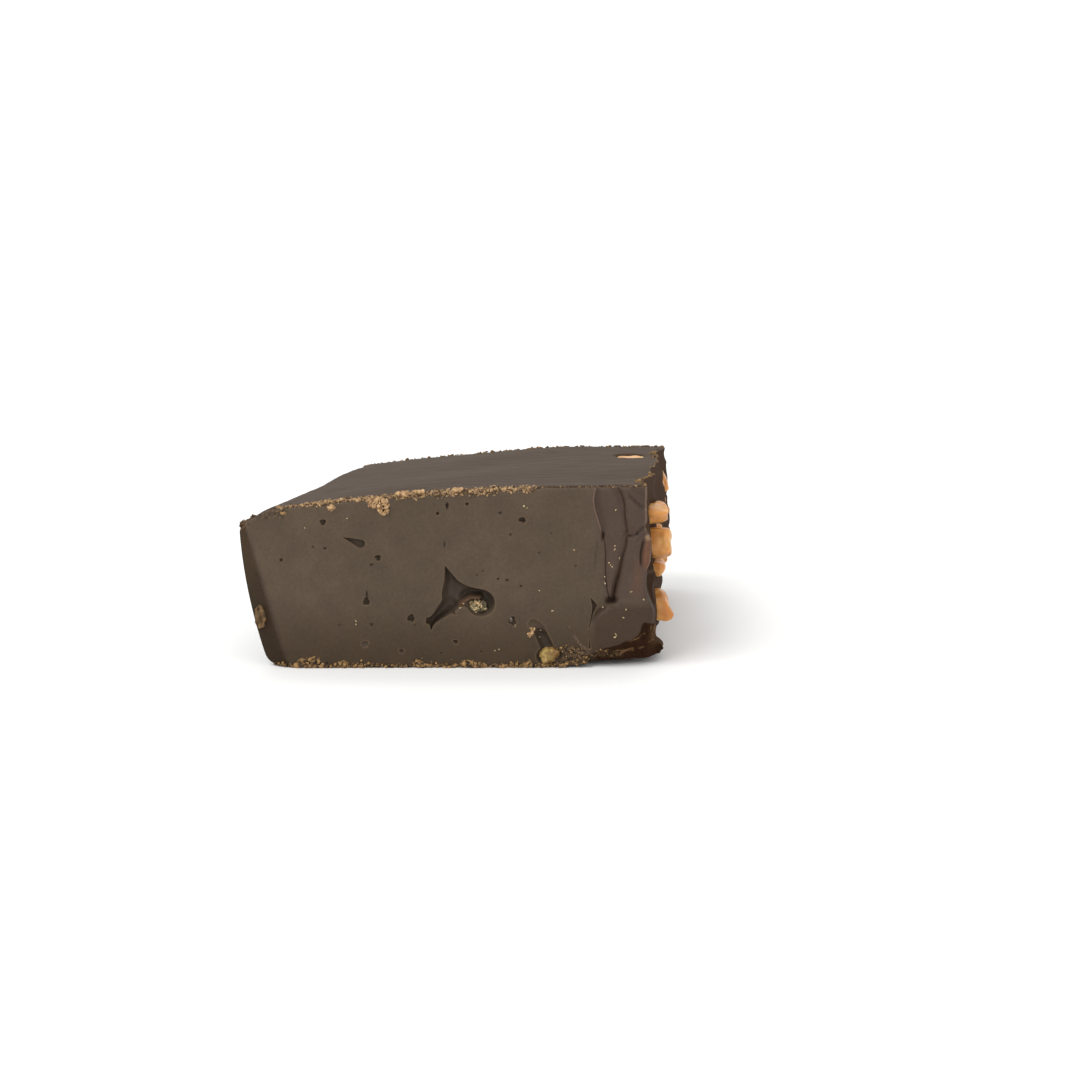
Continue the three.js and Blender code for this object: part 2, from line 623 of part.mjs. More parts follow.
function addPiece(name, manifold, finish) {
  const mesh = manifold.getMesh();
  const geometry = new THREE.BufferGeometry();
  const count = mesh.vertProperties.length / mesh.numProp;
  const position = new Float32Array(3 * count);
  for (let i = 0; i < count; i += 1) {
    for (let k = 0; k < 3; k += 1) position[3 * i + k] = mesh.vertProperties[mesh.numProp * i + k];
  }
  geometry.setAttribute('position', new THREE.BufferAttribute(position, 3));
  geometry.setIndex(Array.from(mesh.triVerts));
  geometry.computeVertexNormals();
  const piece = new THREE.Mesh(geometry, new THREE.MeshStandardMaterial(finish));
  piece.name = name;
  group.add(piece);
}

addPiece('fudge', slice, FINISH.fudge);
for (const piece of pieces) addPiece(...piece);

export default group;
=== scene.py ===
"""Looks of a slice of chocolate fudge: cast, folded, torn and knife-cut skin, crumbs, caramel and nuts."""

import json
import math

import bmesh
import bpy
import numpy as np
from bpy.props import FloatProperty, FloatVectorProperty, IntProperty, PointerProperty
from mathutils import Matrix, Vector, noise

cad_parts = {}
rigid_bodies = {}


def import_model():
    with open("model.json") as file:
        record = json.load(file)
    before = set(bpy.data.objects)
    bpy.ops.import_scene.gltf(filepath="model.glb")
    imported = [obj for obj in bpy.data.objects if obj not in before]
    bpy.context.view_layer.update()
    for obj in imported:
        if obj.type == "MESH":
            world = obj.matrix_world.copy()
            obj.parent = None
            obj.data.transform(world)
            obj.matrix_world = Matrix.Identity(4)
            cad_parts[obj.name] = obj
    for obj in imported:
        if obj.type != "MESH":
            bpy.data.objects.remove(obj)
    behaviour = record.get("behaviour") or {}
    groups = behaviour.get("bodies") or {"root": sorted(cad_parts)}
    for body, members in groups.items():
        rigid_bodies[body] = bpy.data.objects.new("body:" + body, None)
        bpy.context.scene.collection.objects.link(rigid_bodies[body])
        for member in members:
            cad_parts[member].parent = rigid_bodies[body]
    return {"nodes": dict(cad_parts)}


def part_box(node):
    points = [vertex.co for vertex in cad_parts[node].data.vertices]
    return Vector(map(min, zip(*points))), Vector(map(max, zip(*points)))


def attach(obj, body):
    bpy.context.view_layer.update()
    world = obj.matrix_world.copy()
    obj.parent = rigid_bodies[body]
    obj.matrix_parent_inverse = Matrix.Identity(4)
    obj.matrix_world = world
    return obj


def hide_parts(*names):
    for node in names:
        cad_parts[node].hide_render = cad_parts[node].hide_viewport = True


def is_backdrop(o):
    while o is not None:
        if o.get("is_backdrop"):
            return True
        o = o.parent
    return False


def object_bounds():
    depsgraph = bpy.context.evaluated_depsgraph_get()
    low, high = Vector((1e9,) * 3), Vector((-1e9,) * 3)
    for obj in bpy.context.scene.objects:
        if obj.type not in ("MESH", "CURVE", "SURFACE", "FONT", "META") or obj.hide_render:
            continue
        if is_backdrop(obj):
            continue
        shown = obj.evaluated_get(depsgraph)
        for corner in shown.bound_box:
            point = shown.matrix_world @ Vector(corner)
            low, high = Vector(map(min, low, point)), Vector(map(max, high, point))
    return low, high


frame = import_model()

bl_info = {
    "name": "Chocolate Fudge Slice",
    "version": (1, 0, 0),
    "blender": (4, 5, 0),
    "location": "3D View > Sidebar > Fudge",
    "description": "Builds the looks of a slice of chocolate fudge over its solid model",
    "category": "Object",
}

CAD_LOW, CAD_HIGH = (np.array(corner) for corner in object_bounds())
MM = 0.001
# Further than anything that a distance is measured to, in millimetres.
FAR_OFF = 9.0

# ---- slice, in millimetres: the cast side faces -Y, the poured side +X, the knife cuts are top and foot ----
CENTRE_X = -0.575
DEPTH = 60.0
FRONT = -29.83
BACK = FRONT + DEPTH
# Heights of the top at its two ends. It is level from TOP_HIGH_X on and bends down from there to the pan.
TOP_POURED = 25.25
TOP_PAN = 21.55
TOP_HIGH_X = 22.3
TOP_BEND = 2.2
# The pan side leans out towards the top, is rounded at the foot up to a share of its height, and is chipped.
PAN_FOOT_X = -28.75
PAN_LEAN = 3.4
PAN_ROUND = 1.0
PAN_ROUND_TO = 0.08
PAN_TOP_X = PAN_FOOT_X - PAN_LEAN
PAN_SKEW = 7.0
PAN_CHIP = 1.3
PAN_TOP = TOP_PAN - PAN_CHIP
POURED_TOP_X = 23.4
POURED_BELLY = 1.3
POURED_SKEW = 7.3
POURED_SKEW_FOOT = 3.3
POURED_LIP = 1.25
POURED_TUCK = 0.4
WIDTH = POURED_TOP_X - PAN_TOP_X
# The corner between the cast side and the pan side is rounded off, over these widths.
BEVEL_TOP = 0.75
BEVEL_FOOT = 3.15
BEVEL_BEND = 2.5
BEVEL_FALL = 0.45
# How far the skin rises round a caramel piece.
COLLAR = 0.7
# The foot is lifted under the torn corner: share of the width, share of the depth, height.
FOOT_LIFTS = (((0.7, 0.86), (0.03, 0.14), 0.8), ((0.95, 1.0), (0.03, 0.14), 0.35))

# ---- folds of the skin near the poured end ----
# A crease is its heights z and its x at each. A line runs from one (x, z, half thickness) to another, and
# an oval is (x, z, half width, half height).
CREASE_OUTER = ((0, 8.0, 9.8, 10.8, 13.1, 15.9, 17.3, 18.8, 19.7, 21.3, 22.7, 23.9, 25.3),
                (16.4, 17.8, 18.3, 18.0, 17.74, 17.78, 17.68, 17.3, 17.16, 16.6, 16.24, 16.24, 16.6))
CREASE_INNER = ((0, 8.0, 9.6, 11.4, 13.5, 15.9, 16.9, 18.1, 18.8, 21.1, 22.9, 23.7, 25.2),
                (20.6, 19.4, 18.8, 19.1, 19.7, 20.17, 20.56, 20.65, 20.75, 20.36, 20.3, 20.07, 19.3))
CREASE_CORNER = ((22.1, 22.4, 23.1, 23.7, 24.3), (22.9, 22.4, 21.8, 21.2, 20.65))
CREASE_EDGE = ((14.1, 15.1, 16.3, 17.5, 18.3), (22.6, 22.5, 22.56, 22.8, 23.1))
CREASE_FLAP = ((7.6, 9.0, 10.4, 11.95, 13.5), (24.6, 24.0, 23.4, 23.1, 23.3))
CREASE_FAINT = ((13.4, 15.6, 17.6), (16.2, 16.35, 16.6))
FOLD_SINK = 0.4
PIT = (18.56, 9.38, 0.7, 0.36)
DOME = (19.3, 4.4, 3.6, 4.3)
SLIT = (17.38, 18.3, 0.16, 0.65)
KNOT = (21.6, 18.5, 1.3, 0.75)
KNOT_LINES = (((22.8, 19.5, 0.05), (21.95, 18.6, 0.04)), ((21.95, 18.6, 0.04), (20.9, 18.25, 0.02)))
KNOT_FOLD = ((21.0, 23.6, 0.02), (22.8, 22.2, 0.05))
LIP_EDGE = ((13.4, 14.2, 15.4, 16.8, 17.8), (23.1, 23.65, 23.86, 24.05, 23.9))
# A glow painted under the lip: x, z, half width, half height.
LIP_GLOW = (22.1, 12.8, 0.6, 2.2)
# A curl of skin: x, z, radius.
CURL = (23.5, 18.2, 0.42)
NOTCH = (((15.72, 9.85, 0.03), (16.3, 8.75, 0.36)), ((16.3, 8.75, 0.36), (16.0, 7.7, 0.1)),
         ((16.0, 7.7, 0.1), (15.5, 5.5, 0.04)))
NOTCH_SLIT = ((15.55, 4.0, 0.05), (15.66, 2.8, 0.09))
RIDGE = ((17.1, 8.6, 0.03), (18.9, 8.3, 0.03))
TORN_START_X = 15.2
TORN_LINE = ((15.2, 17.9, 19.5, 21.2, 22.1, 22.5, 22.95, 23.25, 24.4, 25.4),
             (1.7, 2.95, 3.3, 4.05, 4.5, 5.0, 6.25, 6.5, 6.0, 5.5))
# Painted highlight on the torn tip: x, z, half width, half height.
TORN_TIP_HIGHLIGHT = (25.0, 4.2, 0.8, 1.3)
# The tear goes back this far on the poured side, falls away at this slope and ends at this depth.
TORN_BACK = 8.5
TORN_FALL = 0.85
TORN_DEEPEST = 2.4
# Thin edges in the tear, from one point to another: raised a little, and coloured pale as painted highlights.
TORN_FLAKES = (((21.2, 3.7, 0.01), (22.3, 4.1, 0.02)), ((22.3, 4.1, 0.01), (23.3, 4.5, 0.01)),
               ((21.2, 2.2, 0.01), (22.5, 2.35, 0.02)), ((22.5, 2.35, 0.02), (23.9, 2.75, 0.03)),
               ((20.6, 2.4, 0.01), (21.7, 2.6, 0.01)), ((24.05, 5.9, 0.05), (24.35, 4.5, 0.03)),
               ((23.9, 3.2, 0.03), (24.6, 3.5, 0.05)))
# Ragged outlines that crumbs leave along the foot, from the rough patch to the tear.
FOOT_FLAKES = (((14.6, 1.5, 0.02), (15.7, 1.9, 0.02)), ((15.7, 1.9, 0.02), (16.35, 1.4, 0.02)),
               ((16.35, 1.4, 0.02), (17.2, 2.15, 0.02)), ((17.2, 2.15, 0.02), (18.05, 2.5, 0.03)),
               ((18.05, 2.5, 0.03), (18.75, 2.1, 0.02)), ((18.75, 2.1, 0.02), (18.65, 1.4, 0.01)),
               ((18.75, 2.1, 0.02), (19.5, 2.35, 0.05)), ((19.5, 2.35, 0.06), (20.9, 2.3, 0.03)),
               ((19.3, 1.7, 0.02), (20.1, 1.95, 0.04)), ((20.1, 1.95, 0.04), (20.9, 2.3, 0.02)))
SCRATCH = (((13.46, 4.6, 0.02), (14.4, 3.2, 0.03)), ((14.4, 3.2, 0.03), (15.5, 2.5, 0.02)))
# A flake of skin stuck to the pan corner, and its shadow.
FLAKE = (-29.75, 7.0, 0.85, 1.62)
FLAKE_SHADOW = (-28.75, 6.9, 0.6, 1.5)

# ---- air holes: x, z, width, height, turn in degrees, depth; the rims of larger ones are coloured lighter ----
HOLES = (
    (-20.7, 20.3, 0.8, 0.9, 0, 0.7), (-13.3, 15.4, 0.8, 0.9, 30, 0.7), (-14.2, 14.4, 0.5, 0.4, 20, 0.4),
    (-15.0, 9.3, 0.95, 1.1, 0, 0.8), (-14.9, 10.2, 0.35, 1.3, 5, 0.5), (-8.9, 7.0, 1.0, 1.1, 20, 0.8),
    (-15.3, 3.4, 0.9, 0.9, 0, 0.35), (-10.3, 2.4, 0.65, 0.6, 0, 0.4), (-14.3, 6.1, 0.5, 0.45, 30, 0.4),
    (-18.7, 6.0, 0.35, 0.35, 0, 0.3), (-8.4, 6.0, 0.3, 0.3, 0, 0.3), (-2.8, 3.7, 0.75, 0.55, -25, 0.5),
    (-3.8, 22.6, 0.45, 1.0, 0, 0.6), (-1.1, 22.8, 0.5, 0.5, 0, 0.5), (-5.1, 21.5, 0.5, 0.5, 0, 0.5),
    (-4.2, 17.2, 0.22, 1.1, 0, 0.4), (6.4, 20.6, 1.1, 0.75, -20, 0.7), (3.4, 21.6, 0.4, 0.4, 0, 0.4),
    (4.8, 18.6, 0.35, 0.4, 0, 0.4), (10.3, 18.8, 0.3, 0.3, 0, 0.3), (1.0, 13.6, 0.35, 0.3, 0, 0.3),
    (3.1, 12.5, 0.45, 0.35, 0, 0.4), (4.3, 12.3, 0.5, 0.4, -30, 0.4), (6.2, 11.5, 0.45, 0.35, 0, 0.4),
    (5.0, 6.6, 1.0, 1.35, 25, 0.7), (8.7, 16.1, 0.3, 0.3, 0, 0.3), (13.7, 14.3, 0.3, 0.35, 0, 0.3),
    (0.7, 2.3, 0.35, 0.35, 0, 0.3), (-20.5, 16.7, 0.5, 0.4, 20, 0.4), (-22.1, 16.9, 0.4, 0.35, 0, 0.3),
    (-26.5, 15.1, 0.5, 0.5, 0, 0.5), (-4.8, 2.1, 0.35, 0.3, 0, 0.3), (0.2, 13.0, 0.3, 0.3, 0, 0.3),
)
SMALL_HOLE = 0.45
FAR_HOLES = (
    (-16.0, 8.0, 1.2, 0.9, 15, 0.8), (-3.5, 17.5, 1.0, 1.1, 0, 0.7), (9.0, 6.5, 1.6, 1.1, -25, 1.0),
    (17.0, 14.0, 0.9, 0.9, 0, 0.7), (-9.0, 12.0, 0.5, 0.5, 0, 0.5), (3.0, 11.0, 0.45, 0.6, 0, 0.4),
    (-21.0, 14.5, 0.5, 0.4, 0, 0.4), (12.5, 19.0, 0.5, 0.4, 10, 0.4), (-12.0, 4.0, 0.6, 0.5, 0, 0.5),
)
TEAR = ((-17.95, 18.2, 0.05), (-15.65, 17.32, 0.62))
TEAR_DEPTH = 0.9
GROOVE = (((7.9, 6.2, 0.72), (8.6, 5.5, 0.8)), ((8.6, 5.5, 0.8), (9.75, 3.0, 0.9)))
GROOVE_DEPTH = 1.5
VOID_SPOKES = (
    ((-3.05, 10.9, 1.4), (-4.15, 14.3, 0.03)),
    ((-3.0, 10.5, 1.45), (0.6, 9.5, 1.5)),
    ((-3.5, 9.0, 1.25), (-5.85, 6.7, 0.55)),
)
VOID_BLENDS = (0.9, 0.7)
VOID_TIPS = (((-5.9, 6.9, 0.45), (-6.85, 7.0, 0.06)), ((-6.0, 6.6, 0.5), (-6.17, 5.35, 0.06)),
             ((-6.2, 6.5, 0.5), (-6.6, 6.5, 0.34)), ((-3.6, 8.3, 0.6), (-2.75, 7.5, 0.03)))
VOID_DEPTH = 2.6
VOID_LOBE = (0.7, 9.1, 1.95, 1.9)
NUT_SEAT = (10.1, 1.65, 1.85, 1.4)
NUT_HOLLOW = (0.1, 8.35, 1.25, 1.0)
VOID_WALL = 0.3
VOID_RIDGE = (((-2.1, 8.8, 0.15), (-0.8, 9.7, 0.1)), ((-0.8, 9.7, 0.1), (0.5, 9.65, 0.05)))
VOID_TRENCH = (((-3.0, 8.3, 0.05), (-1.5, 10.0, 0.1)), ((-1.5, 10.0, 0.1), (0.5, 10.5, 0.1)))


def mix(a, b, t):
    return a + (b - a) * t


def smooth(low, high, t):
    """Rises gently from 0 at low to 1 at high, or falls where low is the higher one."""
    k = np.clip((t - low) / (high - low), 0, 1)
    return k * k * (3 - 2 * k)


def bell(d, width):
    """A rounded peak of 1 where d is 0."""
    return np.exp(-((d / width) ** 2))


def cusp(d, width):
    """A sharp peak of 1 where d is 0."""
    return np.exp(-np.abs(d) / width)


def trailing(d, before, after):
    """Rises sharply where d passes zero and fades out slowly behind it."""
    return np.where(d > 0, np.exp(-np.abs(d) / after), bell(d, before))


def along(curve, height):
    """The curve's x at that height, with its corners eased."""
    heights, xs = curve
    offsets = (-0.6, -0.3, 0.0, 0.3, 0.6)
    return sum(np.interp(height + offset, heights, xs) for offset in offsets) / len(offsets)


def wave(a, b, size, seed):
    """Uneven from -1 to 1, from three sine waves that cross; size is in millimetres."""
    p, q = a / size, b / size
    one = np.sin(1.7 * p + 0.9 * q + seed)
    two = np.sin(-0.8 * p + 1.9 * q + 2.3 * seed)
    three = np.sin(2.9 * p - 2.3 * q + 3.1 * seed)
    return (one + two + 0.5 * three) / 2.5


def lumpy(points, size, seed):
    """Uneven from about -1 to 1, with lumps of that size in millimetres."""
    shift = Vector((seed, 1.7 * seed, 2.9 * seed))
    return np.array([noise.noise(Vector(p) / size + shift) for p in points])


# ---- sides of the slice: v runs from front to back, w from foot to top ----
def pan_lean(share):
    """x of the front's left edge at that share of its height: it leans out and is rounded at the foot."""
    share = np.clip(share, 0, 1)
    rounding = PAN_ROUND * np.clip(1 - share / PAN_ROUND_TO, 0, 1) ** 2
    return PAN_FOOT_X - PAN_LEAN * (1 - (1 - share) ** 2) + rounding


def pan_side(v, w):
    """x of the side that lay on the pan bottom."""
    return pan_lean(w) + PAN_SKEW * v + 0.25 * wave(v * DEPTH, w * 20, 9, 1.3) * smooth(0, 0.2, v)


def caramel_collars(y, z):
    """The poured skin rises round each caramel piece and dips under it; y and z in the frame."""
    collar = np.zeros_like(y)
    for name in SIDE_CARAMELS:
        low, high = (np.array(corner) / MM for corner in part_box(name))
        middle, half = (low + high) / 2, (high - low) / 2
        d = np.hypot((y - middle[1]) / (1.24 * half[1]), (z - middle[2]) / (1.36 * half[2]))
        collar = np.maximum(collar, COLLAR * bell(d - 0.95, 0.3)) - 0.9 * (1 - smooth(0.5, 0.85, d))
    return collar


def poured_side(v, w):
    """x of the poured side: it bulges, folds and wrinkles, and has a lip at the front's foot."""
    y, z = v * DEPTH, w * TOP_POURED
    belly = POURED_BELLY * (1 - smooth(9, 21, z))
    lip = POURED_LIP * (1 - smooth(1.0, 2.6, z)) * (1 - smooth(6, 17, y))
    tuck = -POURED_TUCK * (1 - smooth(0, 0.9, z))
    skew = mix(POURED_SKEW_FOOT, POURED_SKEW, smooth(3, 16, z)) * v
    crumpled = 0.3 * bell(z - 16.6, 1.7) - 0.35 * bell(z - 19.4, 0.6) - 0.35 * bell(z - 9.9, 1.3)
    crumpled = crumpled + 0.12 * wave(z, 0 * z, 0.8, 0.9) - 0.3 * bell(z - 3.4, 0.8)
    fold = 0.8 * wave(y, z * 1.3, 6.5, 0.4) + 0.35 * wave(y, z, 2.9, 5.2)
    wrinkle = 0.12 * wave(y, z * 0.6, 1.5, 1.9) + 0.05 * wave(y, z, 0.8, 4.4)
    skin = smooth(1.5, 7, y) * (fold + wrinkle + caramel_collars(FRONT + y, z) - 0.3)
    skin = skin - 0.75 * smooth(0.5, 1.8, y) * (1 - smooth(8, 14, y)) * smooth(11, 16, z)
    return POURED_TOP_X + belly + lip + tuck + skew + crumpled * (1 - smooth(1.0, 4.0, y)) + skin


def top_height(u, v):
    """z of the top cut, which falls towards the pan side and has its corner chipped off there."""
    x = mix(PAN_TOP_X, POURED_TOP_X, u)
    fall = np.clip((TOP_HIGH_X - x) / (TOP_HIGH_X - PAN_TOP_X), 0, 1) ** TOP_BEND
    chip = PAN_CHIP * (1 - smooth(0.005, 0.08, u)) * (1 + 0.6 * smooth(0.04, 0.4, v))
    uneven = 0.22 * wave(x, v * DEPTH, 11, 2.1) * smooth(0, 0.15, v)
    drag = 0.03 * wave(x * 0.4, v * DEPTH + 2 * wave(x, v * DEPTH, 6, 1.9), 1.3, 0.7) * smooth(0.02, 0.1, v)
    return mix(TOP_POURED, TOP_PAN, fall) - chip + uneven + drag


def top_seat(x, y):
    """How far the top is sunk round the caramel piece that lies level with it."""
    low, high = (np.array(corner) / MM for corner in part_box("caramel_top"))
    middle, half = (low + high) / 2, (high - low) / 2
    reach = (np.abs((x - middle[0]) / half[0]) ** 3 + np.abs((y - middle[1]) / half[1]) ** 3) ** (1 / 3)
    return 0.6 * (1 - smooth(0.86, 1.02, reach))


def foot_height(u, v):
    return sum(rise * smooth(*across, u) * (1 - smooth(*back, v)) for across, back, rise in FOOT_LIFTS)


def torn_line(x):
    """Height that the torn corner reaches on the cast side."""
    ragged = 0.1 * wave(x, 0 * x, 0.6, 1.1) + 0.05 * wave(x, 0 * x, 0.23, 2.0)
    return np.interp(x, *TORN_LINE) + ragged


def crease_shares(z):
    """How far z is above the pit where the creases meet, and how far it is in their upper part."""
    return smooth(8.8, 10.0, z), smooth(18.6, 19.8, z)


def crease_relief(x, z):
    """The two long creases, with the skin swollen between and beside them."""
    outer, inner = along(CREASE_OUTER, z), along(CREASE_INNER, z)
    from_outer, from_inner = x - outer, x - inner
    high, upper = crease_shares(z)
    widening = 1 - smooth(10.0, 17.5, z)
    depth = FOLD_SINK * smooth(-0.12, mix(0.35, 0.5, upper), from_outer) * high
    depth += (0.24 * trailing(from_outer, 0.07, 0.55) - 0.1 * bell(from_outer + 0.2, 0.14)) * upper
    depth += (0.26 * cusp(from_outer, 0.06) + 0.1 * bell(from_outer, 0.4)) * high * (1 - upper)
    depth += mix(0.16, 0.28, widening) * cusp(from_inner, mix(0.06, 0.13, widening)) * high
    depth += mix(0.1, 0.36, widening) * bell(from_inner, mix(0.4, 0.55, widening)) * high
    depth += 0.14 * bell(from_inner + 0.45, 0.5) * smooth(21.5, 23.5, z)
    between = np.clip(from_outer / (inner - outer), 0, 1)
    depth -= 0.38 * np.sin(math.pi * between) * high
    beyond = np.clip(from_inner / (24.6 - inner), 0, 1)
    return depth - 0.42 * np.sin(math.pi * beyond) * high


def oval_reach(x, z, oval):
    """Distance from the middle of an oval, 1 at its rim."""
    middle_x, middle_z, half_width, half_height = oval
    return np.hypot((x - middle_x) / half_width, (z - middle_z) / half_height)


def nearest(x, z, lines):
    """Distance to the nearest of a few straight lines."""
    return np.minimum.reduce([spoke_distance(x, z, line) for line in lines])


def corner_relief(x, z):
    """The crumpled corner at the poured end: a sunk top corner, a knot, the lip and the flap under it."""
    corner = along(CREASE_CORNER, z)
    depth = smooth(21.6, 22.3, z) * (0.2 * cusp(x - corner, 0.08) + 0.3 * smooth(corner, corner + 1.4, x))
    depth += 0.3 * trailing(-spoke_distance(x, z, KNOT_FOLD), 0.3, 0.1)
    knot = bell(oval_reach(x, z, KNOT), 1)
    depth += 0.42 * knot * np.abs(wave(x, 1.6 * z, 0.3, 1.4)) + 0.12 * knot * wave(2 * x, z, 0.22, 4.1)
    depth += 0.26 * bell(nearest(x, z, KNOT_LINES), 0.14)
    edge_x, lip_x = along(CREASE_EDGE, z), along(LIP_EDGE, z)
    edge = smooth(13.7, 15.0, z) * (1 - smooth(17.2, 18.2, z))
    depth += edge * 0.34 * trailing(x - edge_x, 0.1, 0.16)
    depth -= edge * 0.4 * smooth(edge_x + 0.1, edge_x + 0.6, x) * (1 - smooth(lip_x, lip_x + 0.3, x))
    depth += 0.5 * smooth(lip_x - 0.02, lip_x + 0.15, x) * smooth(13.2, 14.0, z) * (1 - smooth(17.6, 18.2, z))
    curl = np.hypot(x - CURL[0], z - CURL[1])
    depth -= 0.5 * smooth(1.15 * CURL[2], 0.6 * CURL[2], curl)
    flap_x = along(CREASE_FLAP, z)
    flap = smooth(7.2, 8.8, z) * (1 - smooth(13.0, 14.2, z))
    return depth + flap * (0.8 * smooth(flap_x, flap_x + 0.3, x) - 0.2 * bell(x - flap_x + 0.2, 0.2))


def dome_relief(x, z):
    """The bulge under the folds, and the pit where the creases meet above it."""
    from_middle = oval_reach(x, z, DOME)
    leftward = smooth(1.6, -1.4, x - DOME[0])
    depth = -0.5 * np.sqrt(np.clip(1 - from_middle**2, 0, 1)) * mix(0.75, 1, leftward)
    depth += 0.25 * bell(from_middle - 1.03, 0.07) * smooth(5.5, 7.4, z) * leftward
    depth += 1.4 * bell(oval_reach(x, z, PIT), 1)
    return depth - 0.12 * bell(spoke_distance(x, z, RIDGE), 0.12)


def fold_relief(x, z):
    depth = crease_relief(x, z) + corner_relief(x, z) + dome_relief(x, z)
    depth += 0.5 * bell(oval_reach(x, z, SLIT), 1)
    faint = smooth(13.6, 14.6, z) * (1 - smooth(17.0, 18.2, z))
    from_faint = x - along(CREASE_FAINT, z)
    return depth + 0.16 * faint * np.where(from_faint > 0, bell(from_faint, 0.6), bell(from_faint, 0.15))


def pan_share(z):
    """Share of the pan side's height."""
    return np.clip(z / PAN_TOP, 0, 1)


def bevel_width(share):
    """Width of the rounded corner against the pan."""
    return mix(BEVEL_FOOT, BEVEL_TOP, share**BEVEL_BEND)


def bevel_relief(inside, share):
    """How far the corner against the pan is rounded off, at a distance inside it."""
    bevel = bevel_width(share)
    return np.where(inside < bevel, BEVEL_FALL * (bevel - inside) * (0.55 + 0.45 * (1 - inside / bevel)), 0)


def flake_distance(x, z):
    ragged = 0.13 * wave(x, z, 0.7, 1.9) + 0.09 * wave(x, z, 0.28, 0.6)
    return (oval_reach(x, z, FLAKE) - 1) * FLAKE[2] + ragged


def front_relief(x, z):
    """How far the cast side lies behind its plane, without its hollows."""
    share = pan_share(z)
    depth = 0.08 * wave(x, z, 7, 3.7) + bevel_relief(x - pan_lean(share), share)
    wrinkled = 0.38 + 0.22 * wave(2.2 * x, 0.8 * z, 0.5, 2.6) + 0.12 * wave(x, z, 0.2, 1.2)
    depth -= wrinkled * smooth(0.02, -0.14, flake_distance(x, z))
    depth += fold_relief(x, z) * smooth(14.8, 15.6, x) * (1 - 0.7 * smooth(24.0, 25.2, x))
    depth += 1.7 * smooth(23.0, 25.4, x) ** 2
    depth -= 0.06 * sum(bell(spoke_distance(x, z, scratch), 0.06) for scratch in SCRATCH)
    below = np.where(x > TORN_START_X, torn_line(x) - z, 0)
    facets = (0.3 * wave(x, z, 0.9, 2.7) + 0.22 * np.abs(wave(x, 2.2 * z, 0.8, 0.3))
              + 0.1 * wave(2 * x, z, 0.4, 5.0))
    fall = TORN_DEEPEST * (1 - np.exp(-TORN_FALL * np.maximum(0, below) / TORN_DEEPEST))
    depth += fall + 0.25 * smooth(0.0, 0.12, below) + facets * smooth(0.1, 0.9, below)
    return depth - 0.25 * flakes(x, z, TORN_FLAKES) * smooth(0.1, 0.5, below)


def far_relief(x, z):
    share = pan_share(z)
    return 0.25 * wave(x, z, 8, 6.1) + bevel_relief(x - pan_side(1, share), share)


# ---- hollows: signed distances, negative inside ----
def spoke_distance(x, z, spoke):
    """Distance to a straight band whose round ends are (x, z, radius) each."""
    (ax, az, ar), (bx, bz, br) = spoke
    length = (bx - ax) ** 2 + (bz - az) ** 2
    t = np.clip(((x - ax) * (bx - ax) + (z - az) * (bz - az)) / length, 0, 1)
    return np.hypot(x - mix(ax, bx, t), z - mix(az, bz, t)) - mix(ar, br, t)


def blended(a, b, blend):
    """The smaller of two distances, rounded over where they meet."""
    h = np.clip(0.5 + 0.5 * (b - a) / blend, 0, 1)
    return mix(b, a, h) - blend * h * (1 - h)


def flakes(x, z, lines):
    """Thin ragged edges along the lines, broken up here and there."""
    ragged = 0.06 * wave(x, z, 0.35, 0.8) + 0.05 * wave(x, z, 0.15, 2.9)
    broken = smooth(-0.5, 0.0, wave(x, z, 0.5, 0.4))
    return broken * np.minimum(1, sum(bell(spoke_distance(x, z, line) + ragged, 0.06) for line in lines))


def void_distance(x, z):
    """Distance to the rim of the large void: three arms, their tips and a lobe."""
    d = spoke_distance(x, z, VOID_SPOKES[0])
    for spoke, blend in zip(VOID_SPOKES[1:], VOID_BLENDS):
        d = blended(d, spoke_distance(x, z, spoke), blend)
    for tip in VOID_TIPS:
        d = blended(d, spoke_distance(x, z, tip), 0.25)
    lobe = (oval_reach(x, z, VOID_LOBE) - 1) * VOID_LOBE[3]
    return blended(d, lobe, 0.3)


def hole_distance(x, z, hole, seed):
    """Distance to the uneven oval rim of an air hole."""
    cx, cz, width, height, turn, _ = hole
    angle = math.radians(turn)
    px = math.cos(angle) * (x - cx) + math.sin(angle) * (z - cz)
    pz = math.cos(angle) * (z - cz) - math.sin(angle) * (x - cx)
    around = np.arctan2(pz, px)
    uneven = 1 + 0.14 * np.sin(3 * around + seed) + 0.07 * np.sin(5 * around + 2 * seed)
    return (np.hypot(px * 2 / width, pz * 2 / height) / uneven - 1) * min(width, height) / 2


def sunk(d, wall):
    """Share of its full depth that a hollow reaches, for the distance to its rim."""
    return 1 - np.exp(np.minimum(d, 0) / wall)


def dug(found, d, deep, wall, large=True, shade=1.0):
    """Adds one hollow to (depth, distance to any rim, share of the way in, distance to a large rim)."""
    depth, rim, inside, large_rim = found
    return (np.maximum(depth, deep * sunk(d, wall)), np.minimum(rim, d),
            np.maximum(inside, shade * smooth(0.0, 0.14, -d)),
            np.minimum(large_rim, d) if large else large_rim)


def no_hollow(x):
    return np.zeros_like(x), np.full_like(x, FAR_OFF), np.zeros_like(x), np.full_like(x, FAR_OFF)


def void_floor(x, z):
    """Relief of the void's back wall: a ridge, the trench behind it and the mound that holds a nut piece."""
    ridge = bell(nearest(x, z, VOID_RIDGE), 0.3)
    trench = bell(nearest(x, z, VOID_TRENCH), 0.35)
    mound = bell(oval_reach(x, z, NUT_HOLLOW), 1)
    return 0.6 * trench - 1.3 * ridge - 0.75 * mound


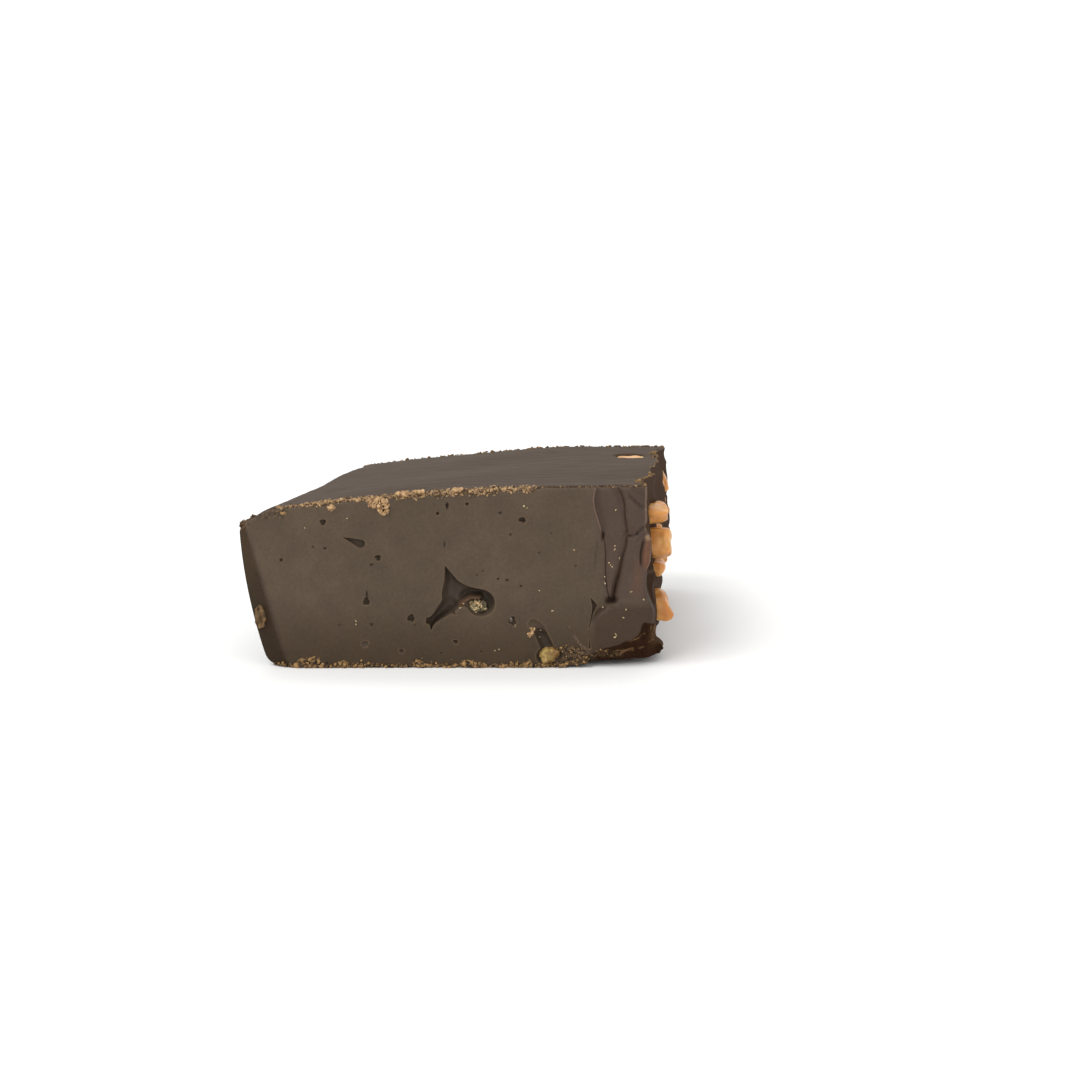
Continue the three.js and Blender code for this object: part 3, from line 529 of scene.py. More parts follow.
def front_hollows(x, z):
    """Hollows of the cast side, as dug() gives them."""
    void = void_distance(x, z)
    found = dug(no_hollow(x), void, VOID_DEPTH, VOID_WALL)
    found = (found[0] + smooth(0.15, 0.7, -void) * void_floor(x, z), *found[1:])
    groove = blended(spoke_distance(x, z, GROOVE[0]), spoke_distance(x, z, GROOVE[1]), 0.3)
    lower = smooth(5.8, 4.4, z)
    found = dug(
        found, groove, mix(0.4, GROOVE_DEPTH, lower), mix(0.35, 0.2, lower), shade=mix(0.1, 1.0, lower))
    seat = (oval_reach(x, z, NUT_SEAT) - 1) * NUT_SEAT[3]
    found = dug(found, seat, 0.7, 0.2)
    notch = np.minimum.reduce([spoke_distance(x, z, spoke) for spoke in NOTCH])
    tear, notch_slit = spoke_distance(x, z, TEAR), spoke_distance(x, z, NOTCH_SLIT)
    for d, deep in ((tear, TEAR_DEPTH), (notch, 0.7), (notch_slit, 0.5)):
        found = dug(found, d, deep, 0.1)
    for seed, hole in enumerate(HOLES):
        found = dug(found, hole_distance(x, z, hole, seed), hole[5], 0.1, min(hole[2:4]) > SMALL_HOLE)
    return found


def far_hollows(x, z):
    found = no_hollow(x)
    for seed, hole in enumerate(FAR_HOLES):
        found = dug(found, hole_distance(x, z, hole, seed), hole[5], 0.12)
    return found


def snapped(x, z, cell):
    """Moves points that lie within a cell of a hollow's rim onto it, so that the rim is crisp."""
    step = 0.01
    rim = front_hollows(x, z)[1]
    slope_x = (front_hollows(x + step, z)[1] - rim) / step
    slope_z = (front_hollows(x, z + step)[1] - rim) / step
    size = np.maximum(np.hypot(slope_x, slope_z), 0.5)
    near = np.abs(rim) < 0.55 * cell
    shift = np.where(near, rim / size**2, 0)
    return x - shift * slope_x, z - shift * slope_z


CARAMELS = sorted(name for name in frame["nodes"] if name.startswith("caramel"))
SIDE_CARAMELS = [name for name in CARAMELS if name != "caramel_top"]


# ---- one closed skin from rows of places on the slice ----
class Skin:
    """Faces between rows of places, where equal places are one point."""

    def __init__(self):
        self.ids = {}
        self.faces = []

    def row(self, places, shares):
        """A row of (share along it, number of the point)."""
        keys = [tuple(round(float(n), 7) for n in place) for place in places]
        return [(share, self.ids.setdefault(key, len(self.ids))) for share, key in zip(shares, keys)]

    def strip(self, a, b, flip):
        """Faces between two rows, in fours where the rows match and in threes where they don't."""
        if len(a) == len(b):
            quads = [(a[i][1], a[i + 1][1], b[i + 1][1], b[i][1]) for i in range(len(a) - 1)]
            self.faces += [quad[::-1] for quad in quads] if flip else quads
            return
        i = j = 0
        while i < len(a) - 1 or j < len(b) - 1:
            step_a = j == len(b) - 1 or (i < len(a) - 1 and a[i + 1][0] <= b[j + 1][0])
            third = (a[i][1], a[i + 1][1], b[j][1]) if step_a else (a[i][1], b[j + 1][1], b[j][1])
            i, j = (i + 1, j) if step_a else (i, j + 1)
            self.faces.append(third[::-1] if flip else third)

    def sheet(self, rows, flip=False):
        for a, b in zip(rows, rows[1:]):
            self.strip(a, b, flip)


def steps(stops):
    """Places along a line, from (place, spacing) stops."""
    places = [stops[0][0]]
    for (start, spacing), (end, _) in zip(stops, stops[1:]):
        count = max(1, round((end - start) / spacing))
        places += [mix(start, end, (i + 1) / count) for i in range(count)]
    low, high = places[0], places[-1]
    return [(place - low) / (high - low) for place in places]


def thin(shares, keep):
    """Every keep-th share, with the last one."""
    chosen = shares[::keep]
    return chosen if chosen[-1] == shares[-1] else [*chosen, shares[-1]]


def slice_skin(cell):
    """The slice's skin, with cells of that size in millimetres where the cast side has its detail."""
    us = steps([(-31.2, cell * 1.3), (-20.8, cell * 1.5), (-8.0, cell), (3.4, cell * 1.35),
                (14.6, cell * 0.8), (24.2, cell)])
    ws = steps([(0, cell * 0.9), (1.6, cell * 1.1), (15.0, cell * 1.4), (22.6, cell), (25.2, cell)])
    vs = steps([(0, cell), (1.2, 2 * cell), (4.0, 3 * cell), (9.0, 4.5 * cell), (57.0, 3 * cell),
                (DEPTH, cell)])
    us_at, ws_at = {}, {}
    for v in vs:
        y = v * DEPTH
        keep = 1 if y < 1.3 else 2 if y < 4 else 4
        us_at[v], ws_at[v] = thin(us, keep), thin(ws, min(keep, 3))
    skin = Skin()
    last = vs[-1]
    skin.sheet([skin.row([(u, 0, w) for u in us], us) for w in ws])
    skin.sheet([skin.row([(u, 1, w) for u in us_at[last]], us_at[last]) for w in ws_at[last]], True)
    skin.sheet([skin.row([(u, v, 1) for u in us_at[v]], us_at[v]) for v in vs])
    foot_us = {v: us if v == 0 else us_at[last] for v in vs}
    skin.sheet([skin.row([(u, v, 0) for u in foot_us[v]], foot_us[v]) for v in vs], True)
    skin.sheet([skin.row([(0, v, w) for w in ws_at[v]], ws_at[v]) for v in vs])
    skin.sheet([skin.row([(1, v, w) for w in ws_at[v]], ws_at[v]) for v in vs], True)
    return skin


def from_detail(x, z):
    """Distance to the nearest rim, crease or torn edge of the cast side."""
    rim = np.abs(front_hollows(x, z)[1])
    high = np.where(z > 8.8, 0, FAR_OFF)
    outer, inner = np.abs(x - along(CREASE_OUTER, z)) + high, np.abs(x - along(CREASE_INNER, z)) + high
    edge = np.abs(x - along(CREASE_EDGE, z)) + np.where((z > 13.4) & (z < 18.8), 0, FAR_OFF)
    torn = np.where(x > TORN_START_X, np.maximum(0.12, z - torn_line(x)), FAR_OFF)
    flake = np.abs(flake_distance(x, z))
    return np.minimum.reduce([rim, outer, inner, edge, torn, flake])


def refined(skin):
    """Places and faces of the skin, with finer cells near the detail of the cast side."""
    mesh = bpy.data.meshes.new("cells")
    mesh.from_pydata(list(skin.ids), [], skin.faces)
    cells = bmesh.new()
    cells.from_mesh(mesh)
    bpy.data.meshes.remove(mesh)
    for reach in (0.3, 0.1):
        u, v, w = np.array([point.co for point in cells.verts]).T
        x = mix(pan_side(0 * v, w), poured_side(0 * v, w), u)
        z = mix(foot_height(u, 0 * v), top_height(u, 0 * v), w)
        near = (v == 0) & (from_detail(x, z) < reach)
        edges = [edge for edge in cells.edges if all(near[end.index] for end in edge.verts)]
        bmesh.ops.subdivide_edges(cells, edges=edges, cuts=1, use_grid_fill=True)
        cells.verts.index_update()
    bmesh.ops.triangulate(cells, faces=[face for face in cells.faces if len(face.verts) > 4])
    places = np.array([point.co for point in cells.verts])
    faces = [[point.index for point in face.verts] for face in cells.faces]
    cells.free()
    return places, faces


def crumble_band(x):
    """Width of the crumbs along the top edge of the cast side."""
    ends = smooth(-27.5, -25.0, x) * (1 - 0.75 * smooth(7.0, 9.5, x)) * (1 - smooth(23.0, 24.0, x))
    width = mix(0.5, 0.75, smooth(-14.5, -11.0, x))
    return ends * (width + 0.22 * wave(x, 0 * x, 2.1, 0.5) + 0.2 * wave(x, 0 * x, 0.7, 1.5))


def place_slice(shares, cell=0.0):
    """Points of the slice in millimetres, the ways out and the zone masks, for unit-box places."""
    u, v, w = shares.T
    z = mix(foot_height(u, v), top_height(u, v), w)
    x = mix(pan_side(v, w), poured_side(v, w), u)
    front_x = mix(pan_side(0 * v, w), poured_side(0 * v, w), u)
    front_z = mix(foot_height(u, 0 * v), top_height(u, 0 * v), w)
    if cell:
        free = (v == 0) & (u > 0) & (u < 1) & (w > 0) & (w < 1)
        snap_x, snap_z = snapped(front_x, front_z, cell)
        front_x, front_z = np.where(free, snap_x, front_x), np.where(free, snap_z, front_z)
        x, z = np.where(free, front_x, x), np.where(free, front_z, z)
    at_front, at_far = v == 0, v == 1
    band = crumble_band(front_x)
    edge_top = np.clip(1 - (1 - w) * TOP_POURED / (0.55 + 0.4 * band), 0, 1) ** 2
    edge_foot = np.clip(1 - w * TOP_POURED / 0.6, 0, 1) ** 2
    hollow, far_hollow = front_hollows(front_x, front_z), far_hollows(x, z)
    near = FRONT + front_relief(front_x, front_z) + 0.42 * edge_top + 0.22 * edge_foot
    near = near + np.where(at_front, hollow[0], 0)
    far_edge = np.clip(1 - np.minimum(1 - w, w) * TOP_POURED / 0.7, 0, 1) ** 2
    far = BACK - far_relief(x, z) - 0.3 * far_edge - np.where(at_far, far_hollow[0], 0)
    from_edge = np.minimum(v, 1 - v) * DEPTH
    worn_edge = 0.3 * np.clip(1 - from_edge / 0.8, 0, 1) ** 2
    z = z - np.where(w == 1, worn_edge + top_seat(x - CENTRE_X, FRONT + v * DEPTH), 0)
    points = np.stack([x - CENTRE_X, mix(near, far, v), z], 1)
    masks = slice_masks(shares, front_x, front_z, hollow, far_hollow)
    rough = lumpy(points, 0.5, 3.1) + 0.6 * lumpy(points, 0.22, 7.3)
    outward = np.stack([1.0 * (u == 1) - (u == 0), 1.0 * at_far - at_front, 1.0 * (w == 1)], 1)
    crumbly = masks["crumbly"]
    lift = 0.2 * rough * np.maximum(crumbly, 0.45 * masks["torn"]) - 0.12 * crumbly
    return points + outward * lift[:, None], outward, masks


def crumbly_mask(shares, x, z):
    """Where the skin is crumbly: along the knife cuts, in the rough patch and where it is chipped."""
    u, v, w = shares.T
    on_front, at_far, on_top = v == 0, v == 1, w == 1
    from_top, from_foot = (1 - w) * TOP_POURED, w * TOP_POURED
    band = crumble_band(x)
    top = on_front * (1 - smooth(0.5 * band, 0.9 * band + 0.05, from_top))
    foot_band = 0.35 + 0.3 * wave(x, 0 * x, 1.6, 2.5)
    foot = on_front * (1 - smooth(foot_band, foot_band + 0.3, from_foot)) * (1 - smooth(15, 17, x))
    behind = on_top * (1 - smooth(0.6 * band, 2.6 * band + 0.05, v * DEPTH))
    chip = 0.8 * smooth(0.035, 0.012, u) * smooth(0.93, 0.97, w)
    far = 0.7 * at_far * (1 - smooth(0.3, 0.9, np.minimum(from_top, from_foot)))
    broken = on_front * smooth(-25.2, -26.4, x) * smooth(20.5, 21.0, z + 0.15 * wave(x, z, 0.8, 1))
    return np.maximum.reduce([top, foot, behind, chip, far, 0.5 * broken, 0.8 * patch_mask(x, z) * on_front])


def patch_mask(x, z):
    """The rough patch between the nut piece and the torn corner."""
    uneven = 0.35 * wave(x, z, 0.9, 0.4)
    patch = smooth(10.6, 11.4, x + uneven) * (1 - smooth(15.0, 16.2, x + uneven)) * smooth(0.4, 0.9, z)
    golden = smooth(16.4, 17.0, x) * (1 - smooth(19.8, 20.6, x)) * smooth(1.1, 1.5, z)
    golden = golden * (1 - smooth(2.2, 2.7, z + uneven))
    return np.maximum(patch * (1 - smooth(2.8, 3.4, z - uneven + 0.3 * np.maximum(0, x - 14))), 0.8 * golden)


def edge_shown(z):
    """Where the lip stands out from the poured end."""
    return smooth(13.2, 14.0, z) * (1 - smooth(18.0, 18.6, z))


def torn_zones(shares, x, z):
    """Where fudge is torn, round the lower corner at the poured end, and the pale flakes there, with painted
    highlights on the torn edges, the crinkled rim of the poured side and the tip.
    """
    u, v, _ = shares.T
    on_cast, y = v == 0, v * DEPTH
    torn_cast = on_cast * smooth(-0.02, 0.1, np.where(x > TORN_START_X, torn_line(x) - z, -1.0))
    torn_height = mix(TORN_LINE[1][-1] + 0.7, 4.0, y / TORN_BACK) + 0.5 * wave(y, z, 1.3, 0.5)
    torn_side = (u == 1) * smooth(0.0, 0.3, torn_height - z)
    torn_side = torn_side * smooth(TORN_BACK, TORN_BACK - 0.5, y + 0.7 * wave(y, z, 0.9, 1.7))
    torn = np.maximum(torn_cast * smooth(15.6, 17.0, x), torn_side)
    tip = 0.45 * bell(oval_reach(x, z, TORN_TIP_HIGHLIGHT), 1)
    crinkled = 0.8 * bell(torn_height - 0.6 - z, 0.5) + 0.35
    crinkled = torn_side * crinkled * (0.7 + 0.3 * wave(y, 1.5 * z, 0.5, 3.0))
    torn_flakes, foot_flakes = flakes(x, z, TORN_FLAKES) * torn_cast, flakes(x, z, FOOT_FLAKES) * on_cast
    return torn, np.maximum.reduce([torn_flakes, foot_flakes, tip * torn, crinkled])


def lip_zones(x, z):
    """The thin lip with a painted glow under it, and the skin turned away beyond it, which is painted in
    shade.
    """
    lip_x = along(LIP_EDGE, z)
    lip = smooth(0.15, 0.45, x - along(CREASE_EDGE, z)) * smooth(13.4, 14.4, z) * (1 - smooth(17.9, 18.4, z))
    lip = lip * (1 - smooth(-0.05, 0.08, x - lip_x))
    glow = 0.4 * bell(oval_reach(x, z, LIP_GLOW), 1)
    flap = smooth(0.1, 0.4, x - along(CREASE_FLAP, z)) * smooth(7.6, 9.0, z) * (1 - smooth(12.8, 13.6, z))
    beyond_lip = smooth(0.0, 0.12, x - lip_x) * smooth(13.0, 13.8, z) * (1 - smooth(17.4, 18.0, z))
    return np.maximum(lip, glow), np.maximum(flap, beyond_lip)


def painted_fold_shade(x, z):
    """Painted shade where the folded skin is sunk, creased or crinkled."""
    from_outer, from_inner = x - along(CREASE_OUTER, z), x - along(CREASE_INNER, z)
    sunk_corner = smooth(0.2, 0.9, x - along(CREASE_CORNER, z)) * smooth(22.0, 22.6, z)
    sunk_corner = sunk_corner * (1 - smooth(22.9, 23.15, x))
    high, upper = crease_shares(z)
    low_fold = 1 - smooth(10.0, 15.0, z)
    creased = 0.55 * trailing(from_outer, 0.08, 0.6) * upper + 0.3 * bell(from_inner, 0.22) * high
    creased += 0.4 * bell(from_inner, 0.5) * low_fold * high
    creased += 0.3 * bell(from_inner + 0.5, 0.5) * smooth(21.5, 23.5, z)
    faint = 0.4 * trailing(x - along(CREASE_FAINT, z), 0.1, 0.5)
    faint = faint * smooth(13.4, 14.4, z) * (1 - smooth(17.0, 18.2, z))
    pit = smooth(-0.2, 0.3, 0.47 * (11.0 - z) - np.abs(x - PIT[0]))
    pit = pit * smooth(8.85, 9.1, z) * (1 - smooth(10.4, 11.2, z))
    crinkles = 0.7 * bell(nearest(x, z, (*KNOT_LINES, KNOT_FOLD)), 0.16)
    return np.maximum.reduce([0.35 * sunk_corner, creased, faint, 0.8 * pit, crinkles])


def painted_edge_highlights(x, z, from_curl):
    """Painted highlights where a fold turns over, and the scratch."""
    light = bell(x - 23.2, 0.09) * smooth(18.8, 19.6, z) + bell(x - along(LIP_EDGE, z), 0.08) * edge_shown(z)
    _, upper = crease_shares(z)
    light = light + 0.8 * bell(x - along(CREASE_OUTER, z) + 0.14, 0.1) * upper + bell(from_curl, 0.08)
    scratch = sum(bell(spoke_distance(x, z, line), 0.055) for line in SCRATCH)
    return np.clip(light + 0.7 * scratch, 0, 1)


def slice_masks(shares, x, z, hollow, far_hollow):
    """How far each point belongs to each zone of the skin, by the zone's name."""
    u, v, w = shares.T
    on_front, at_far = 1.0 * (v == 0), 1.0 * (v == 1)
    torn, pale_flakes_and_highlights = torn_zones(shares, x, z)
    lip, turned = lip_zones(x, z)
    from_curl = np.hypot(x - CURL[0], z - CURL[1]) - CURL[2]
    pocket_edge = bell(nearest(x, z, VOID_RIDGE), 0.25)
    share = pan_share(z)
    in_bevel = (x - pan_lean(share)) / bevel_width(share)
    on_bevel = on_front * (1 - smooth(0.8, 1.0, in_bevel))
    # Painted shade along the inner edge of the rounded pan corner.
    pan_edge = 0.7 * bell(in_bevel - 0.95, 0.12)
    shadow = 0.6 * bell(oval_reach(x, z, FLAKE_SHADOW), 1)
    stuck = smooth(0.03, -0.06, flake_distance(x, z)) * (0.55 + 0.45 * wave(2.2 * x, 0.8 * z, 0.5, 2.6))
    # Painted highlight: the flake is lighter towards its curled rim.
    stuck = stuck * mix(0.55, 1.0, bell(flake_distance(x, z) + 0.1, 0.14))
    folded = smooth(-1.2, 0.5, x - along(CREASE_OUTER, z)) * smooth(8.6, 10.6, z)
    return {
        "fold": np.maximum(on_front * folded, 1.0 * (u == 1)),
        "dull": np.maximum.reduce([1.0 * (u == 0), 1.0 * (u == 1), on_bevel, on_front * turned]),
        "dome": on_front * smooth(15.9, 16.6, x) * (1 - smooth(8.0, 9.6, z)),
        "lip": on_front * np.maximum(lip, 0.6 * pocket_edge * hollow[2]),
        # Painted shade: the folds' creases, pit, crinkles and sunk corner, the skin turned away beyond the
        # lip and the flap, the pan corner's inner edge and the flake's shadow.
        "dark": on_front * np.maximum.reduce([turned, painted_fold_shade(x, z), pan_edge, shadow]),
        "torn": torn,
        "flake": pale_flakes_and_highlights,
        # The flake's own colour, and a painted highlight on the curl of skin at the poured end.
        "stuck": on_front * np.maximum(stuck, 0.9 * smooth(0.0, -0.15, from_curl)),
        # Painted highlights along the folds' turned edges, the lip and the curl; the scratch is paler too.
        "edge": on_front * painted_edge_highlights(x, z, from_curl),
        # Painted shade: the pan side and the rounded corner against it are coloured darker, the corner most
        # towards the foot.
        "pan": np.maximum(1.0 * (u == 0), on_bevel * (1 - 0.4 * smooth(0.3, 0.9, share))),
        "cut": np.maximum(1.0 * (w == 1), 1.0 * (w == 0)),
        "hollow": on_front * hollow[2] * (1 - pocket_edge) + at_far * far_hollow[2],
        "rim": on_front * bell(hollow[3] - 0.05, 0.08) + at_far * bell(far_hollow[3] - 0.05, 0.08),
        # Painted shade: the cast and far sides are coloured darker towards the foot.
        "low": np.maximum(on_front, at_far) * (1 - smooth(1.0, 11.0, z)),
        "crumbly": crumbly_mask(shares, x, z),
    }


def new_piece(name, points, faces, material, smooth_faces=True):
    """A mesh object in the frame from points in millimetres."""
    mesh = bpy.data.meshes.new(name)
    mesh.from_pydata((np.asarray(points) * MM).tolist(), [], faces)
    mesh.materials.append(material)
    mesh.polygons.foreach_set("use_smooth", [smooth_faces] * len(mesh.polygons))
    mesh.update()
    piece = bpy.data.objects.new(name, mesh)
    bpy.context.scene.collection.objects.link(piece)
    return piece


def add_mask(piece, name, values):
    attribute = piece.data.attributes.new(name, "FLOAT", "POINT")
    attribute.data.foreach_set("value", np.ascontiguousarray(np.clip(values, 0, 1), dtype=np.float32))


# ---- materials ----
def linear(code):
    """Linear colour from an sRGB hex value."""
    channels = [int(code[i : i + 2], 16) / 255 for i in (1, 3, 5)]
    return tuple(c / 12.92 if c <= 0.04045 else ((c + 0.055) / 1.055) ** 2.4 for c in channels)


def add_node(tree, kind, inputs=None, **settings):
    """Adds a node, with its settings, and its inputs as values or links."""
    made = tree.nodes.new(kind)
    for name, value in settings.items():
        setattr(made, name, value)
    for socket, value in (inputs or {}).items():
        if isinstance(value, bpy.types.NodeSocket):
            tree.links.new(value, made.inputs[socket])
        else:
            made.inputs[socket].default_value = value
    return made


def start_material(name):
    material = bpy.data.materials.new(name)
    material.use_nodes = True
    tree = material.node_tree
    tree.nodes.clear()
    place = add_node(tree, "ShaderNodeTexCoord").outputs["Object"]
    return material, tree, place


def rgba(colour):
    return (*colour, 1.0)


def per_mm(size):
    """Texture scale for features of that size in millimetres."""
    return 1 / (size * MM)


def noisy(tree, place, size, detail):
    """Noise from 0 to 1 with features of that size in millimetres."""
    return add_node(
        tree, "ShaderNodeTexNoise", {"Vector": place, "Scale": per_mm(size), "Detail": detail}).outputs["Fac"]


def reading(tree, name):
    """What a mask of the mesh says."""
    return add_node(tree, "ShaderNodeAttribute", attribute_name=name).outputs["Fac"]


def ranged(tree, value, low, high, to_low=0.0, to_high=1.0):
    """The value with low to high spread over to_low to to_high."""
    return add_node(
        tree, "ShaderNodeMapRange", {0: value, 1: low, 2: high, 3: to_low, 4: to_high}).outputs[0]


def computed(tree, operation, *values, clamped=False):
    return add_node(
        tree, "ShaderNodeMath", dict(enumerate(values)), operation=operation, use_clamp=clamped).outputs[0]


def tinted(tree, share, start, end, blend_type="MIX"):
    """The start colour with a share of the end colour."""
    mixer = add_node(
        tree, "ShaderNodeMix", {0: share, 6: start, 7: end}, data_type="RGBA", blend_type=blend_type)
    return mixer.outputs[2]


def bumped(tree, height, distance, strength, under=None, **settings):
    """Bump up to that distance in millimetres, on top of the bump under it."""
    inputs = {"Height": height, "Distance": distance * MM, "Strength": strength}
    if under is not None:
        inputs["Normal"] = under
    return add_node(tree, "ShaderNodeBump", inputs, **settings).outputs[0]


def shaded(material, inputs):
    """Ends a material with its shader."""
    shader = add_node(material.node_tree, "ShaderNodeBsdfPrincipled", inputs)
    add_node(material.node_tree, "ShaderNodeOutputMaterial", {"Surface": shader.outputs[0]})
    return material


def fudge_colour(tree, place, look):
    """Colour of each zone: the cast side faintly mottled, the folds redder, the tear darkest."""
    cloudy = ranged(tree, noisy(tree, place, 9, 3.0), 0.35, 0.65)
    colour = tinted(tree, cloudy, rgba(look.cool_colour), rgba(look.warm_colour))
    # Zones low, pan and dark are painted shade; edge, stuck and flake carry painted highlights, lip a painted
    # glow.
    zones = (
        ("low", look.painted_low_shade_colour, 0.85), ("pan", look.pan_side_shade_colour, 0.95), ("cut", look.cut_colour, 0.95),
        ("fold", look.fold_colour, 0.85), ("dome", look.dome_colour, 0.95), ("dark", look.dark_colour, 0.85),
        ("lip", look.lip_colour, 0.9), ("hollow", look.hollow_colour, 0.9), ("rim", look.rim_colour, 0.5),
        ("torn", look.torn_colour, 1.0), ("flake", look.flake_and_highlight_colour, 0.85),
        ("stuck", look.stuck_flake_and_highlight_colour, 1.0), ("edge", look.edge_highlight_colour, 0.6),
    )
    for mask, zone_colour, weight in zones:
        share = computed(tree, "MULTIPLY", reading(tree, mask), weight, clamped=True)
        colour = tinted(tree, share, colour, rgba(zone_colour))
    return colour


def with_pinholes(tree, place, colour, hole_colour):
    """The finest air bubbles, as dark dots a fifth of a millimetre wide: painted shade where no hole is dug.
    """
    spacing, share = 1.9, 0.6
    pins = add_node(
        tree, "ShaderNodeTexVoronoi", {"Vector": place, "Scale": per_mm(spacing), "Randomness": 1.0})
    size = ranged(tree, pins.outputs["Color"], 0.55, 1.0, 0.0, 0.1)
    pin = computed(tree, "LESS_THAN", pins.outputs["Distance"], size)
    return tinted(tree, computed(tree, "MULTIPLY", pin, share), colour, rgba(hole_colour))


def fudge_material(look):
    """Chocolate fudge: a faint sheen where it is cast, and dull where it is torn, cut or folded over."""
    material, tree, place = start_material("chocolate_fudge_cast_and_cut")
    colour = fudge_colour(tree, place, look)
    # Crumbs of cut fudge are drier and paler, and shaded brown between them.
    crumbs = add_node(tree, "ShaderNodeTexVoronoi", {"Vector": place, "Scale": per_mm(0.42)})
    crumb_tone = ranged(tree, crumbs.outputs["Distance"], 0.1, 0.75)
    crumb_colour = tinted(tree, crumb_tone, rgba(look.crumb_light), rgba(look.crumb_dark))
    crumbly = reading(tree, "crumbly")
    crumbed = tinted(tree, crumbly, colour, crumb_colour)
    pinned = with_pinholes(tree, place, crumbed, look.hollow_colour)
    # Sugar grain and wide smears vary the tone a little everywhere. Real grains are too fine to show,
    # so they are drawn 0.3 mm wide.
    grain = noisy(tree, place, 0.3, 2.0)
    tone = computed(tree, "ADD", grain, noisy(tree, place, 3.2, 4.0))
    lit = tinted(tree, 1.0, pinned, ranged(tree, tone, 0.7, 1.3, 0.86, 1.14), "MULTIPLY")
    matt = computed(tree, "MAXIMUM", reading(tree, "torn"), reading(tree, "dull"))
    rough = computed(tree, "MULTIPLY_ADD", crumbly, 0.25, ranged(tree, matt, 0.0, 1.0, 0.55, 0.9))
    fine = bumped(tree, grain, 0.05, 0.35)
    # The knife drags its streaks along the cut faces.
    streak_place = add_node(tree, "ShaderNodeMapping", {"Vector": place, "Scale": (0.3, 1.0, 1.0)})
    streaks, cut = noisy(tree, streak_place.outputs[0], 0.9, 3.0), reading(tree, "cut")
    sheen = ranged(tree, computed(tree, "MAXIMUM", matt, cut), 0.0, 1.0, 0.28, 0.03)
    drag = bumped(tree, streaks, 0.1, cut, fine)
    lumps = bumped(tree, crumbs.outputs["Distance"], 0.2, crumbly, drag, invert=True)
    return shaded(material, {
        "Base Color": lit, "Roughness": rough, "IOR": 1.46, "Specular IOR Level": sheen, "Normal": lumps})


def crumb_material(name, light, dark):
    """Crumbs rubbed off by the knife: dry, matt and paler than the block, each with its own tone."""
    material, tree, place = start_material(name)
    tint, grain = reading(tree, "tint"), noisy(tree, place, 0.2, 2.0)
    uneven = computed(tree, "MULTIPLY_ADD", grain, 0.7, -0.35)
    share = computed(tree, "ADD", tint, uneven, clamped=True)
    return shaded(material, {
        "Base Color": tinted(tree, share, rgba(dark), rgba(light)), "Roughness": 0.7, "IOR": 1.46,
        "Specular IOR Level": 0.3, "Normal": bumped(tree, grain, 0.06, 0.6)})


def caramel_material(look):
    """Soft caramel, cut in cubes: light goes a few millimetres in and comes back amber, under a sheen."""
    material, tree, place = start_material("caramel_soft_cut")
    share = ranged(tree, noisy(tree, place, 2.4, 3.0), 0.35, 0.65)
    colour = tinted(tree, share, rgba(look.deep_colour), rgba(look.pale_colour))
    dents = bumped(tree, noisy(tree, place, 0.7, 3.0), 0.25, 0.35)
    return shaded(material, {
        "Base Color": colour, "Roughness": 0.38, "IOR": 1.48, "Normal": dents,
        "Subsurface Weight": look.translucency, "Subsurface Radius": (1.0, 0.45, 0.15),
        "Subsurface Scale": look.glow_depth, "Coat Weight": 0.08, "Coat Roughness": 0.3,
        "Specular IOR Level": 0.4})


def nut_material(name, kernel, skin, skin_from):
    """Nut kernel, broken: dry and pale yellow, with darker skin left in the dents and beyond skin_from."""
    material, tree, place = start_material(name)
    patches = noisy(tree, place, 0.9, 4.0)
    across = add_node(tree, "ShaderNodeSeparateXYZ", {0: place}).outputs["X"]
    covered = ranged(tree, across, skin_from, skin_from + 2 * MM, 0.0, -0.16)
    bare = ranged(tree, computed(tree, "ADD", patches, covered), 0.38, 0.58)
    colour = tinted(tree, bare, rgba(skin), rgba(kernel))
    broken = bumped(tree, noisy(tree, place, 0.3, 3.0), 0.15, 0.5)
    return shaded(material, {
        "Base Color": colour, "Roughness": 0.55, "IOR": 1.47, "Normal": broken,
        "Subsurface Weight": 0.25, "Subsurface Radius": (1.0, 0.8, 0.4), "Subsurface Scale": 0.4 * MM})


def paper_material(name, colour):
    """Matt coated paper, which gives a plain pale ground with a soft contact shadow."""
    material, tree, place = start_material(name)
    # Real fibres are too fine to show, so they are drawn 0.6 mm wide.
    fibres = bumped(tree, noisy(tree, place, 0.6, 2.0), 0.02, 0.2)
    return shaded(material, {"Base Color": rgba(colour), "Roughness": 0.75, "Normal": fibres})


# ---- crumbs ----
def crumb_shape(level):
    """Points and faces of a ball of triangles."""
    ball = bmesh.new()
    bmesh.ops.create_icosphere(ball, subdivisions=level, radius=1.0)
    points = np.array([v.co for v in ball.verts])
    faces = np.array([[v.index for v in face.verts] for face in ball.faces])
    ball.free()
    return points, faces


def crumb_piece(name, rng, centres, radii, material, level=1, ragged=0.4):
    """Joined irregular lumps at the centres, in millimetres."""
    ball, faces = crumb_shape(level)
    count = len(centres)
    shape = ball[None] * (1 + ragged * rng.uniform(-1, 1, (count, len(ball), 1)))
    shape = shape * (np.array(radii)[:, None, None] * rng.uniform(0.6, 1.4, (count, 1, 3)))
    turns = np.linalg.qr(rng.normal(size=(count, 3, 3)))[0]
    points = np.einsum("nij,nkj->nki", turns, shape) + np.asarray(centres)[:, None]
    margin = 0.02
    low, high = CAD_LOW / MM + margin, CAD_HIGH / MM - margin
    points = np.clip(points.reshape(-1, 3), low, high)
    joined = faces[None] + len(ball) * np.arange(count)[:, None, None]
    mirrored = np.linalg.det(turns)[:, None, None] < 0
    joined = np.where(mirrored, joined[:, :, ::-1], joined).reshape(-1, 3)
    piece = new_piece(name, points, joined.tolist(), material, smooth_faces=False)
    add_mask(piece, "tint", np.repeat(rng.uniform(0, 1, count), len(ball)))
    return piece


